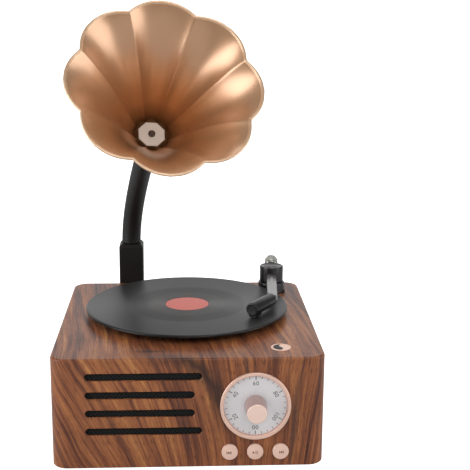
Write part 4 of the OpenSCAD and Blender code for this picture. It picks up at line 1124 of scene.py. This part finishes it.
def make_horn():
    """Eight-petal bell with a rolled rim, and the plate and screw that clamp it in its throat."""
    gaps = (0, 0.5, 1.1, 2, 3.2, 5, 7.4, 10.2, 13.4, 17, 22.5)
    step = 360 / PETALS
    angles = []
    for k in range(PETALS):
        angles += [step * k + g for g in gaps] + [step * (k + 1) - g for g in reversed(gaps[1:-1])]
    folds = [flute(a) for a in angles]

    def slope(x):
        """Unit direction of the bell's line there, as (along, out)."""
        rise = LIP_AT * BELL_DEPTH * FLARE * (1 - LIP_AT * x) ** (FLARE - 1)
        return Vector((rise, CUSP_R - THROAT_R)).normalized()

    def bell(x, back):
        """Point of the bell's line, moved back through the sheet, as (along, out)."""
        along = BELL_DEPTH * (1 - (1 - LIP_AT * x) ** FLARE) / (1 - (1 - LIP_AT) ** FLARE)
        out = THROAT_R + (CUSP_R - THROAT_R) * x
        return along - back * slope(x).y, out + back * slope(x).x

    def ring(along, out, share=1.0):
        """Points round the bell, out to the creases; share scales how much the petals bulge."""
        radii = [out * (1 + share * (fold - 1)) for fold in folds]
        turns = [math.radians(a + PETAL_TURN) for a in angles]
        return [(r * math.cos(t), r * math.sin(t), along) for r, t in zip(radii, turns)]

    steps, rim_at = 44, 0.99
    places = [(rim_at - 0.016) * (1 - (1 - i / steps) ** 1.25) for i in range(steps + 1)]
    sheet, bead = 0.7, 0.6
    rings = [ring(0, 1.2, 0.0), ring(0, 4, 0.3)] + [ring(*bell(x, 0)) for x in places]
    middle, ahead = Vector(bell(rim_at, 0.55 * bead)), slope(rim_at)
    behind = Vector((-ahead.y, ahead.x))
    for a in range(-56, 241, 18):
        rolled = math.sin(math.radians(a)) * ahead - math.cos(math.radians(a)) * behind
        rings.append(ring(*(middle + bead * rolled)))
    rings += [ring(*bell(x, sheet)) for x in reversed(places[:-2])]
    rings += [ring(-BELL_T, THROAT_R + 0.2), ring(-BELL_T, 1.2, 0.0), ring(0, 1.2, 0.0)]
    horn = loft("horn", rings, AT_THROAT, capped=False)
    inverse = AT_THROAT.inverted()
    rim_z = (middle - 0.9 * bead * ahead).x
    heights = [(inverse @ (v.co / MM)).z for v in horn.data.vertices]
    # depth drives the painted shade and bounced light towards the throat; rim marks the rolled rim for
    # its painted highlight
    point_values(horn, "depth", [max(0.0, z) / BELL_DEPTH for z in heights])
    point_values(horn, "rim", [float(z > rim_z) for z in heights])
    piece(horn, "horn", "horn_copper_gold", ["horn_bell"], angle=60)

    place = AT_THROAT @ turned("Z", PETAL_TURN)
    plate = prism("clamp", lambda g: circle(PLATE8_R - g, 8),
                  [(0, 0.0), (PLATE8_T - 0.2, 0), (PLATE8_T, 0.2)], place)
    bore(plate, PLATE8_HOLE_R, [(-1, 0), (2, 0)], place, 32)
    piece(plate, "horn", "clamp_plate", ["throat_plate"])
    head, tip = PLATE8_T, PLATE8_T - SCREW_LEN
    screw = lathe("clamp_screw", fillet([
        (0, tip), (SCREW_R, tip), (SCREW_R, head), (SCREW_HEAD_R, head),
        (SCREW_HEAD_R, head + 0.9, 0.35), (1.05, head + SCREW_HEAD_H, 0.2), (0.9, head + 1.0),
        (0.55, head + 0.75), (0, head + 0.7)]), AT_THROAT, 48)
    piece(screw, "horn", "screw_dark", ["throat_screw"])


make_post()
make_neck()
make_horn()

# ---------- CAD pieces that keep their shape ----------

KEPT = {
    "black_plastic": ["bottom_cover", "potentiometer", "tact_switches", "battery_tray", "platter_hub"],
    "zinc_screw": ["cover_screws", "baffle_screws", "speaker_screws", "board_screws", "post_screws",
                   "neck_set_screw"],
    "rubber_foot": ["feet"],
    "baffle_board": ["speaker_baffle"],
    "stamped_steel": ["speaker_frame", "speaker_yoke", "board_components"],
    "surround_rubber": ["speaker_surround"],
    "paper_cone": ["speaker_cone", "speaker_dust_cap"],
    "copper_wire": ["voice_coil"],
    "ferrite": ["speaker_magnet"],
    "plain_steel": ["pot_shaft", "usb_socket", "spindle_clip", "tonearm_clip", "tonearm_pivot",
                    "neck_spigot", "neck_plug"],
    "circuit_board": ["control_board", "main_board"],
    "battery_wrap": ["battery"],
    "bush_brass": ["spindle_bush", "tonearm_nut"],
}
for slot_name, names in KEPT.items():
    for node_name in names:
        data = nodes[node_name].data
        data.materials.clear()
        data.materials.append(MATERIALS[slot_name])
